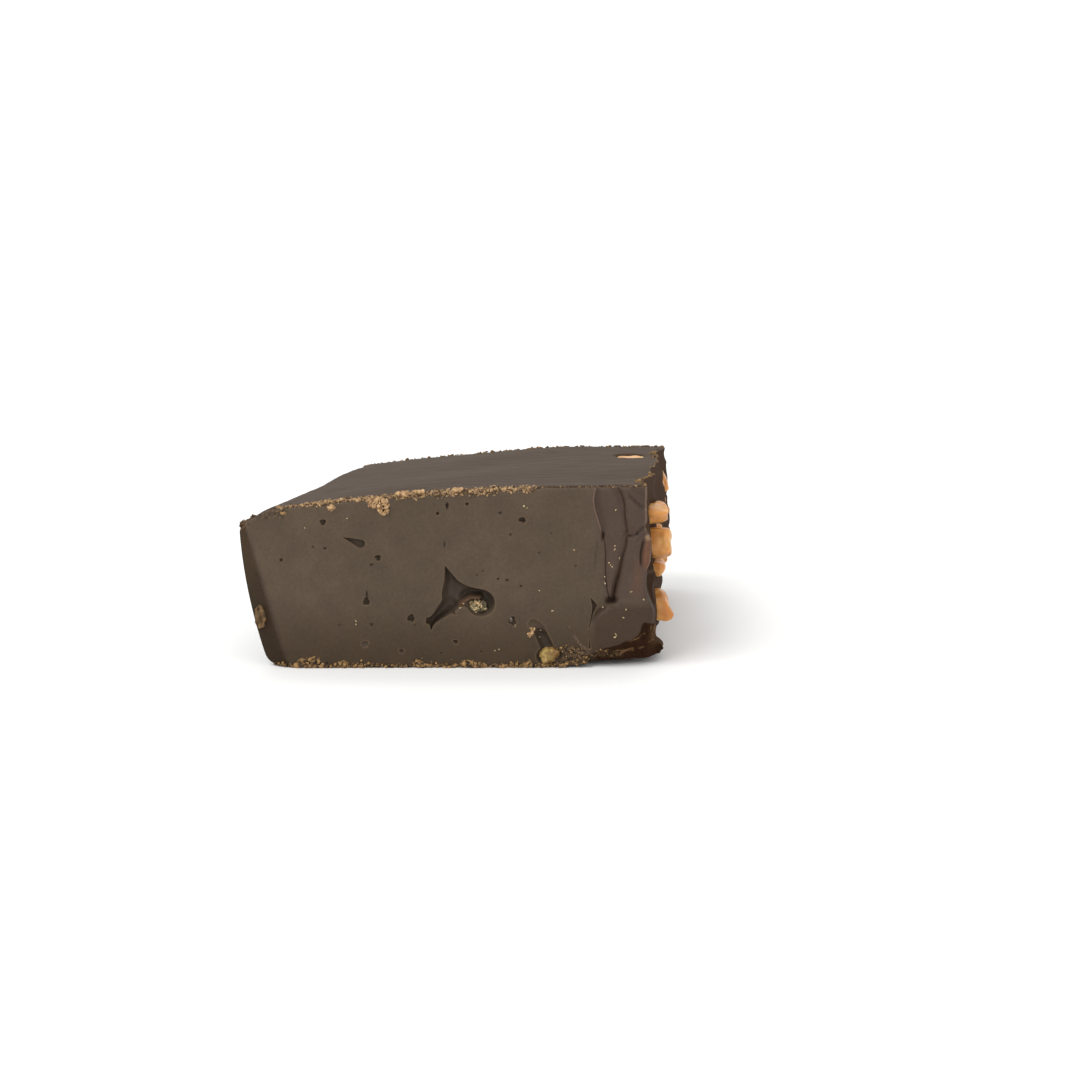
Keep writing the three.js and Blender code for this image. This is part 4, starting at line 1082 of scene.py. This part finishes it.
def cast_side_y(x, z):
    """y of the cast side's surface at slab x and height z."""
    return FRONT + front_relief(x, z) + front_hollows(x, z)[0]


def top_edge(x):
    return top_height(front_share(x), 0 * x)


def slab(x, y, z):
    return np.stack([np.asarray(x) - CENTRE_X, y, z], 1)


def on_skin(rng, shares, sizes, proud=(0.0, 0.7)):
    """Centres of crumbs that stand on the skin at those shares, by a part of their size."""
    points, outward, _ = place_slice(shares)
    return points + outward * (sizes * rng.uniform(*proud, len(sizes)))[:, None]


def front_share(x):
    """Share of the slice's width at slab x on the top edge of the cast side."""
    return np.clip((x - PAN_TOP_X) / WIDTH, 0, 1)


def crumb_sizes(rng, count, small, large):
    return mix(small, large, rng.random(count) ** 3)


def top_band_crumbs(rng, count):
    dense = int(count * 0.93)
    x = np.concatenate([rng.uniform(-27.0, 8.5, dense), rng.uniform(8.5, 23.0, count - dense)])
    band = crumble_band(x)
    across = rng.uniform(-1, 1.5, count)
    drop = np.clip(-across, 0, 1) * band * rng.uniform(0.3, 1.1, count)
    behind = np.clip(across, 0, 2) ** 1.5 * band * rng.uniform(0.2, 1.4, count)
    shares = np.stack([front_share(x), behind / DEPTH, 1 - drop / TOP_POURED], 1)
    size = crumb_sizes(rng, count, 0.05, 0.24)
    clumped = 0.75 + 0.5 * wave(x, 3 * across, 0.8, 2.2)
    keep = (band > 0.08) & (rng.random(count) < clumped * (0.3 + 0.7 * smooth(0.2, 0.7, band)))
    return on_skin(rng, shares[keep], size[keep]), size[keep]


def foot_band_crumbs(rng, count):
    x = mix(-27.6, 15.5, rng.random(count) ** 0.9)
    foot_left, foot_right = PAN_FOOT_X + PAN_ROUND, POURED_TOP_X + POURED_BELLY + POURED_LIP - POURED_TUCK
    u = (x - foot_left) / (foot_right - foot_left)
    heap = 0.5 + 0.5 * wave(x, 0 * x, 1.6, 2.5)
    height = np.abs(rng.normal(0.0, 0.5, count)) * (0.4 + 0.4 * heap) + 0.1
    size = crumb_sizes(rng, count, 0.05, 0.27)
    shares = np.stack([u, 0 * u, height / TOP_POURED], 1)
    keep = rng.random(count) < 0.3 + 0.7 * heap
    return on_skin(rng, shares[keep], size[keep], (0.0, 0.9)), size[keep]


def edge_crumbs(rng, count):
    """Crumbs along the other knife-cut edges.

    Of seven, three lie at the far top, one at the far foot, two at the pan top and one at the poured top.
    """
    along_edge, inward = rng.random(count), np.abs(rng.normal(0, 1, count))
    side = rng.integers(0, 7, count)
    up = rng.random(count) < 0.5
    spread, drop, width_halfway_up = 0.9, 0.4, 56
    in_depth, in_height = inward * spread / DEPTH, inward * drop / TOP_POURED
    in_width = inward * spread / width_halfway_up
    below_top, ones = np.where(up, 1 - in_height, 1), np.ones(count)
    far_top = np.stack([along_edge, np.where(up, 1, 1 - in_depth), below_top], 1)
    far_foot = np.stack([along_edge, ones, in_height], 1)
    pan_top = np.stack([np.where(up, 0, in_width), along_edge, below_top], 1)
    poured_top = np.stack([1 - in_width * 0.5, along_edge, ones], 1)
    chosen = [(side < 3)[:, None], (side == 3)[:, None], (side < 6)[:, None]]
    shares = np.select(chosen, [far_top, far_foot, pan_top], poured_top)
    size = crumb_sizes(rng, count, 0.09, 0.26)
    heap = wave(along_edge * DEPTH, side * 7.0, 2.4, 0.9)
    keep = rng.random(count) < 0.35 + 0.6 * heap
    return on_skin(rng, shares[keep], size[keep]), size[keep]


def patch_crumbs(rng, count):
    """Golden crumbs in the rough patch between the nut piece and the tear."""
    x, z = rng.uniform(10.6, 20.6, count), rng.uniform(0.3, 3.5, count)
    keep = rng.random(count) < patch_mask(x, z) * (0.45 + 0.4 * wave(x, z, 0.8, 3.3))
    x, z = x[keep], z[keep]
    size = crumb_sizes(rng, len(x), 0.04, 0.17)
    return slab(x, cast_side_y(x, z) - size * rng.uniform(0.0, 0.6, len(x)), z), size


def cluster_crumbs(rng, x, z, width, tall, count, proud):
    """Crumbs heaped on the cast side within an oval."""
    angle, reach = rng.uniform(0, 2 * math.pi, count), np.sqrt(rng.uniform(0, 1, count))
    cx = x + width / 2 * reach * np.cos(angle)
    cz = z + tall / 2 * reach * np.sin(angle)
    size = rng.uniform(0.1, 0.28, count)
    inner = 1 - reach**2
    cz = np.minimum(np.maximum(cz, 0.2), top_edge(cx) + 0.25)
    base = FRONT + front_relief(cx, np.minimum(cz, top_edge(cx)))
    cy = base + 0.15 - proud * inner * rng.uniform(0.0, 1.0, count)
    return slab(cx, cy, cz), size


# ---- heaps of crumbs on the cast side: x, z, width, height, count, how far they stand out ----
DRY_HEAPS = (
    (-13.3, 23.0, 2.8, 1.5, 110, 0.8), (-12.4, 22.2, 1.7, 1.5, 80, 0.8), (-9.6, 24.3, 1.9, 0.8, 40, 0.5),
    (-7.6, 24.7, 1.4, 0.7, 30, 0.5), (-2.2, 24.8, 1.4, 0.6, 24, 0.4), (-19.6, 22.3, 1.2, 0.6, 20, 0.3),
)
FRESH_HEAPS = (
    (-22.9, 0.8, 3.4, 1.6, 60, 0.35), (-18.2, 0.5, 1.1, 1.0, 22, 0.4), (-7.8, 0.7, 1.8, 1.4, 40, 0.5),
    (-1.0, 0.6, 3.0, 0.8, 36, 0.3), (7.3, 0.8, 1.0, 0.9, 14, 0.3),
    (-26.0, 21.6, 2.4, 0.6, 8, 0.1), (-24.4, 0.5, 1.6, 0.8, 16, 0.3),
)


def sprinkled(rng, spots, spread, count, radius):
    """A few crumbs at each (x, z) spot of the cast side."""
    spots = np.array(spots)
    chosen = np.repeat(spots, count, axis=0) + rng.normal(0, spread, (len(spots) * count, 2))
    x, z = chosen.T
    size = rng.uniform(0.6, 1.2, len(x)) * radius
    return slab(x, cast_side_y(x, z) - 0.3 * size, z), size


# Painted highlight: the pale crumbs at (5.4, 6.03) stand where the hole shows a glint.
PALE_FLECKS = (
    (19.04, 17.1), (19.0, 16.5), (19.6, 15.4), (18.3, 14.7), (18.4, 14.4), (18.7, 14.1), (17.7, 12.8),
    (17.7, 11.85), (21.3, 10.7), (23.0, 9.6), (17.4, 8.6), (20.2, 7.15), (20.56, 8.2), (12.8, 5.7),
    (13.4, 16.6), (2.6, 2.4), (3.2, 2.7), (8.8, 5.2), (8.8, 4.1), (8.7, 10.9), (10.55, 8.1), (-17.4, 20.9),
    (-16.5, 6.6), (-16.5, 6.1), (19.2, 22.0), (-1.8, 8.9), (-2.1, 8.5), (6.6, 22.5), (7.1, 22.3),
    (-23.1, 19.4), (4.83, 6.98), (5.4, 6.03),
)
ORANGE_FLECKS = ((7.55, 5.4), (7.7, 5.1), (7.4, 4.9), (8.0, 5.3), (7.3, 4.5), (7.6, 4.7), (7.85, 5.0))
BLOOM_FLECKS = ((4.72, 6.85), (4.9, 6.65), (4.78, 6.5))
CRESCENT = (19.0, 4.7, 0.26)


def nut_grains(rng, name, count):
    """Small pieces that stand out all over the shown side of a nut piece."""
    low, high = (np.array(corner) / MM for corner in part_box(name))
    ways = rng.normal(size=(count, 3))
    ways[:, 1] = -np.abs(ways[:, 1])
    ways /= np.linalg.norm(ways, axis=1)[:, None]
    return (low + high) / 2 + 0.93 * ways * (high - low) / 2, crumb_sizes(rng, count, 0.1, 0.26)


def dress_node(name, levels, lumps, material):
    """A finer, more uneven copy of a CAD node. lumps are (size, height, seed) in millimetres."""
    fine = bmesh.new()
    fine.from_mesh(frame["nodes"][name].data)
    bmesh.ops.remove_doubles(fine, verts=fine.verts, dist=0.02 * MM)
    mesh = bpy.data.meshes.new(name + "_looks")
    fine.to_mesh(mesh)
    fine.free()
    piece = bpy.data.objects.new(name + "_looks", mesh)
    bpy.context.scene.collection.objects.link(piece)
    divide = piece.modifiers.new("finer", "SUBSURF")
    divide.levels = divide.render_levels = levels
    shaped = bpy.data.meshes.new_from_object(piece.evaluated_get(bpy.context.evaluated_depsgraph_get()))
    piece.modifiers.clear()
    piece.data = shaped
    points = np.array([v.co for v in shaped.vertices]) / MM
    normals = np.array([v.normal for v in shaped.vertices])
    for size, height, seed in lumps:
        points = points + normals * (height * lumpy(points, size, seed))[:, None]
    low, high = (np.array(corner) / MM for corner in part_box(name))
    share = (points - points.min(0)) / (points.max(0) - points.min(0))
    points = mix(low, high, share)
    shaped.vertices.foreach_set("co", (points * MM).ravel())
    shaped.materials.clear()
    shaped.materials.append(material)
    shaped.polygons.foreach_set("use_smooth", [True] * len(shaped.polygons))
    shaped.update()
    return piece


# ---- settings ----
def colour_property(name, description, code):
    return FloatVectorProperty(
        name=name, description=description, subtype="COLOR", min=0, max=1, default=linear(code))


def length_property(name, description, length):
    return FloatProperty(name=name, description=description, default=length, unit="LENGTH", precision=5)


def power_property(name, description, power):
    return FloatProperty(name=name, description=description, default=power, min=0, unit="POWER")


def count_property(name, description, count):
    return IntProperty(name=name, description=description, default=count, min=0)


class FudgeLook(bpy.types.PropertyGroup):
    """Colours of the slice's zones, and how fine its skin is."""

    cell: length_property("Cell", "Cell of the skin where detail shows", 0.16 * MM)
    warm_colour: colour_property("Warm", "Warmer patches of the cast side", "#4d3f31")
    cool_colour: colour_property("Cool", "Cooler patches of the cast side", "#483c2e")
    # Painted shade that darkens the cast and far sides towards the foot.
    painted_low_shade_colour: colour_property("Low", "Painted_shade_at_the foot of the cast side", "#382a19")
    # Painted shade on the pan side and on the rounded corner against it.
    pan_side_shade_colour: colour_property("Pan side", "Skin against the pan bottom", "#332a21")
    cut_colour: colour_property("Cut", "Knife-cut faces", "#413326")
    fold_colour: colour_property("Folds", "Folded skin", "#45352c")
    dome_colour: colour_property("Dome", "Bulge under the folds", "#39291b")
    # Painted shade in the folds, on skin turned away, along the pan corner and beside the flake.
    dark_colour: colour_property("Dark folds", "Sunk parts of the folds", "#34261c")
    # The lip's own colour, also painted as a glow under the lip.
    lip_colour: colour_property("Lip", "Thin lip beside the folds", "#63412d")
    hollow_colour: colour_property("Hollows", "Walls of the air holes", "#4c4136")
    rim_colour: colour_property("Rims", "Lighter rims of holes and folds", "#5f4c38")
    # Painted highlights where a fold turns over; the scratch takes this colour too.
    edge_highlight_colour: colour_property("Edges", "Thin skin where a fold turns over", "#866c5c")
    # The flake's colour, also used for painted highlights on its rim and on the curl of skin.
    stuck_flake_and_highlight_colour: colour_property("Stuck flake", "Dry flake on the pan corner", "#8a6d4e")
    torn_colour: colour_property("Torn", "Fresh torn fudge", "#311f14")
    # Painted highlights in the tear, and the pale crumbly outlines along the foot.
    flake_and_highlight_colour: colour_property("Flakes", "Thin edges in the tear", "#7d6043")
    crumb_light: colour_property("Crumbs, light", "Dry crumbs", "#6c5640")
    crumb_dark: colour_property("Crumbs, dark", "Between the crumbs", "#2f2319")


class CrumbLook(bpy.types.PropertyGroup):
    """Colours and numbers of the crumbs."""

    light_colour: colour_property("Light", "Dry crumb", "#b08f67")
    dark_colour: colour_property("Dark", "Fresh crumb", "#433226")
    foot_light: colour_property("Foot, light", "Crumb at the foot", "#9f7c4f")
    foot_dark: colour_property("Foot, dark", "Crumb at the foot", "#221811")
    # Painted light: a lighter copy of the dry crumbs' colours, so that heaps stay bright against the shade
    # they cast on each other.
    heap_light: colour_property("Heap, light", "Crumb of a loose heap", "#c4a176")
    heap_dark: colour_property("Heap, dark", "Crumb of a loose heap", "#7a5c3e")
    pale_colour: colour_property("Pale", "Pale crumb stuck to the cast side", "#d8c79c")
    bloom_light: colour_property("Bloom, light", "Flake with sugar bloom", "#c2b5aa")
    bloom_dark: colour_property("Bloom, dark", "Flake with sugar bloom", "#8c8078")
    top_count: count_property("Top", "Crumbs along the top edge", 5200)
    foot_count: count_property("Foot", "Crumbs along the foot", 2200)
    edge_count: count_property("Edges", "Crumbs along the other edges", 3600)
    patch_count: count_property("Patch", "Crumbs in the rough patch", 760)


class CaramelLook(bpy.types.PropertyGroup):
    deep_colour: colour_property("Deep", "Thicker caramel", "#b97a35")
    pale_colour: colour_property("Pale", "Thinner caramel", "#d49d57")
    translucency: FloatProperty(name="Translucency", description="Share of light that goes in", default=0.8,
                                min=0, max=1, subtype="FACTOR")
    glow_depth: length_property("Glow depth", "How far light goes in", 1.6 * MM)


class NutLook(bpy.types.PropertyGroup):
    kernel_colour: colour_property("Kernel", "Broken kernel", "#997f46")
    dry_colour: colour_property("Dry kernel", "Kernel dried out in the void", "#857a58")
    skin_colour: colour_property("Skin", "Skin and fudge left on the kernel", "#7b5a2f")
    dark_colour: colour_property("Dark skin", "Skin left on the dry kernel", "#3d3020")


class StageLook(bpy.types.PropertyGroup):
    floor_colour: colour_property("Floor", "Paper under the slice", "#f0f0ef")
    world_light: FloatProperty(name="Sky", description="Strength of the even light", default=0.72, min=0)
    key_power: power_property("Key", "Power of the main soft light", 3.6)
    fill_power: power_property("Fill", "Power of the front light", 1.3)
    back_power: power_property("Back", "Power of the light on the backdrop", 3.0)


# ---- operators ----
class FUDGE_OT_slice(bpy.types.Operator):
    """Builds the slice's skin over its solid"""

    bl_idname = "fudge.slice"
    bl_label = "Slice"

    def execute(self, context):
        look = context.scene.fudge_look
        places, faces = refined(slice_skin(look.cell / MM))
        points, _, masks = place_slice(places, 0.3 * look.cell / MM)
        points = np.clip(points, CAD_LOW / MM, CAD_HIGH / MM)
        piece = new_piece("fudge_slice", points, faces, fudge_material(look))
        for name, values in masks.items():
            add_mask(piece, name, values)
        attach(piece, "root")
        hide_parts("fudge")
        return {"FINISHED"}


class FUDGE_OT_crumbs(bpy.types.Operator):
    """Scatters the crumbs of the knife cuts and the flecks on the cast side"""

    bl_idname = "fudge.crumbs"
    bl_label = "Crumbs"

    def execute(self, context):
        look = context.scene.crumb_look
        rng = np.random.default_rng(11)
        dry = crumb_material("fudge_crumbs_rubbed_dry", look.light_colour, look.dark_colour)
        fresh = crumb_material("fudge_crumbs_fresh_cut", look.foot_light, look.foot_dark)
        # Painted light: the heaps get a lighter copy of the dry crumbs' colours.
        heaped = crumb_material("fudge_crumbs_heaped_dry", look.heap_light, look.heap_dark)
        pale = crumb_material("nut_and_caramel_crumbs", look.pale_colour, look.light_colour)
        pieces = [
            crumb_piece("crumbs_top", rng, *top_band_crumbs(rng, look.top_count), dry),
            crumb_piece("crumbs_foot", rng, *foot_band_crumbs(rng, look.foot_count), fresh),
            crumb_piece("crumbs_edges", rng, *edge_crumbs(rng, look.edge_count), fresh),
            crumb_piece("crumbs_patch", rng, *patch_crumbs(rng, look.patch_count), fresh),
        ]
        for name, heaps, material in (("heaps_dry", DRY_HEAPS, heaped), ("heaps_fresh", FRESH_HEAPS, fresh)):
            parts = [cluster_crumbs(rng, *heap) for heap in heaps]
            centres, sizes = (np.concatenate(part) for part in zip(*parts))
            pieces.append(crumb_piece(name, rng, centres, sizes, material, level=2, ragged=0.16))
        centres, sizes = sprinkled(rng, PALE_FLECKS, 0.07, 2, 0.08)
        bend = np.linspace(-1.9, 1.2, 7)
        x, z = CRESCENT[0] + CRESCENT[2] * np.cos(bend), CRESCENT[1] + CRESCENT[2] * np.sin(bend)
        centres = np.concatenate([centres, slab(x, cast_side_y(x, z) - 0.03, z)])
        sizes = np.concatenate([sizes, np.full(len(bend), 0.08)])
        pieces.append(crumb_piece("flecks_pale", rng, centres, sizes, pale))
        orange = sprinkled(rng, ORANGE_FLECKS, 0.1, 4, 0.16)
        pieces.append(crumb_piece("flecks_orange", rng, *orange, heaped))
        bloom = crumb_material("fudge_flake_sugar_bloom", look.bloom_light, look.bloom_dark)
        pieces.append(crumb_piece("flecks_bloom", rng, *sprinkled(rng, BLOOM_FLECKS, 0.04, 2, 0.2), bloom))
        pieces.append(crumb_piece("grains_void", rng, *nut_grains(rng, "nut_void", 48), pale))
        for piece in pieces:
            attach(piece, "root")
        return {"FINISHED"}


class FUDGE_OT_caramels(bpy.types.Operator):
    """Dresses the caramel pieces"""

    bl_idname = "fudge.caramels"
    bl_label = "Caramel pieces"

    def execute(self, context):
        material = caramel_material(context.scene.caramel_look)
        for index, name in enumerate(CARAMELS):
            piece = dress_node(name, 3, ((2.2, 0.35, index + 0.5), (0.8, 0.12, 3.3 + index)), material)
            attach(piece, "root")
            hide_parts(name)
        return {"FINISHED"}


class FUDGE_OT_nuts(bpy.types.Operator):
    """Dresses the nut pieces"""

    bl_idname = "fudge.nuts"
    bl_label = "Nut pieces"

    def execute(self, context):
        look = context.scene.nut_look
        broken = nut_material("nut_kernel_broken", look.kernel_colour, look.skin_colour, 10.4 * MM)
        dry = nut_material("nut_kernel_dry", look.dry_colour, look.dark_colour, 1.6 * MM)
        kinds = (
            ("nut_edge", broken, ((1.5, 0.55, 5.1), (0.7, 0.3, 8.2), (0.3, 0.1, 2.2))),
            ("nut_void", dry, ((1.1, 0.4, 6.1), (0.5, 0.34, 8.2), (0.25, 0.16, 2.2))),
        )
        for name, material, lumps in kinds:
            piece = dress_node(name, 3, lumps, material)
            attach(piece, "root")
            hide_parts(name)
        return {"FINISHED"}


def paper_sweep(colour):
    """Paper under the slice, bent up into a wall behind it; in metres."""
    half_width, bend_start, bend_radius, wall_top, columns = 0.7, 0.45, 0.35, 0.9, 2
    profile = [(-half_width, 0.0), (bend_start, 0.0)]
    turns = np.linspace(0, math.pi / 2, 24)[1:]
    profile += [(bend_start + bend_radius * math.sin(a), bend_radius * (1 - math.cos(a))) for a in turns]
    profile.append((profile[-1][0], wall_top))
    points = [(side * 2 * half_width / MM, y / MM, z / MM) for y, z in profile for side in (-1, 1)]
    starts = range(0, columns * (len(profile) - 1), columns)
    faces = [(start, start + 1, start + 3, start + 2) for start in starts]
    return new_piece("paper_sweep", points, faces, paper_material("paper_coated_matt", colour))


def add_light(name, power, place, aim, size):
    """A soft light of that size, at a place and aimed at another, in metres."""
    data = bpy.data.lights.new(name, "AREA")
    data.energy, data.size = power, size
    lamp = bpy.data.objects.new(name, data)
    lamp.location = place
    lamp.rotation_euler = (Vector(aim) - Vector(place)).to_track_quat("-Z", "Y").to_euler()
    bpy.context.scene.collection.objects.link(lamp)


def add_sky(strength):
    """Even white light from all round."""
    world = bpy.data.worlds.new("even_sky")
    world.use_nodes = True
    sky = world.node_tree.nodes["Background"]
    sky.inputs["Color"].default_value = (1.0, 1.0, 1.0, 1.0)
    sky.inputs["Strength"].default_value = strength
    bpy.context.scene.world = world


def add_camera(eye, look_down):
    """A camera in front of the slice at eye, in millimetres, that looks down by that many degrees."""
    data = bpy.data.cameras.new("camera")
    data.lens, data.sensor_width = 49.333, 36.0
    data.clip_start = 0.01
    camera = bpy.data.objects.new("camera", data)
    camera.location = [place * MM for place in eye]
    camera.rotation_euler = (math.radians(90 - look_down), 0, 0)
    bpy.context.scene.collection.objects.link(camera)
    bpy.context.scene.camera = camera


class FUDGE_OT_stage(bpy.types.Operator):
    """Makes the floor, the lights and the camera"""

    bl_idname = "fudge.stage"
    bl_label = "Stage"

    def execute(self, context):
        look = context.scene.stage_look
        floor = paper_sweep(look.floor_colour)
        floor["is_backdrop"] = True
        slice_middle, wall_middle = (0, 0, 0.012), (0, 0.8, 0.4)
        add_light("key", look.key_power, (-0.35, -0.35, 0.55), slice_middle, 0.45)
        add_light("fill", look.fill_power, (0.45, -0.6, 0.25), slice_middle, 0.6)
        add_light("back", look.back_power, (0, 0.3, 0.75), wall_middle, 0.8)
        add_sky(look.world_light)
        add_camera((9.375, -228.85, 48.80), 8.833)
        context.scene.view_settings.view_transform = "Standard"
        return {"FINISHED"}


class FUDGE_PT_panel(bpy.types.Panel):
    bl_label = "Chocolate fudge"
    bl_space_type = "VIEW_3D"
    bl_region_type = "UI"
    bl_category = "Fudge"

    def draw(self, context):
        for operator in OPERATORS:
            self.layout.operator(operator.bl_idname)


LOOKS = (("fudge_look", FudgeLook), ("crumb_look", CrumbLook), ("caramel_look", CaramelLook),
         ("nut_look", NutLook), ("stage_look", StageLook))
OPERATORS = (FUDGE_OT_slice, FUDGE_OT_crumbs, FUDGE_OT_caramels, FUDGE_OT_nuts, FUDGE_OT_stage)


def register():
    for name, look in LOOKS:
        bpy.utils.register_class(look)
        setattr(bpy.types.Scene, name, PointerProperty(type=look))
    for kind in (*OPERATORS, FUDGE_PT_panel):
        bpy.utils.register_class(kind)


def unregister():
    for kind in reversed((*OPERATORS, FUDGE_PT_panel)):
        bpy.utils.unregister_class(kind)
    for name, look in reversed(LOOKS):
        delattr(bpy.types.Scene, name)
        bpy.utils.unregister_class(look)


def main():
    register()
    bpy.ops.fudge.slice()
    bpy.ops.fudge.crumbs()
    bpy.ops.fudge.caramels()
    bpy.ops.fudge.nuts()
    bpy.ops.fudge.stage()


if __name__ == "__main__":
    main()
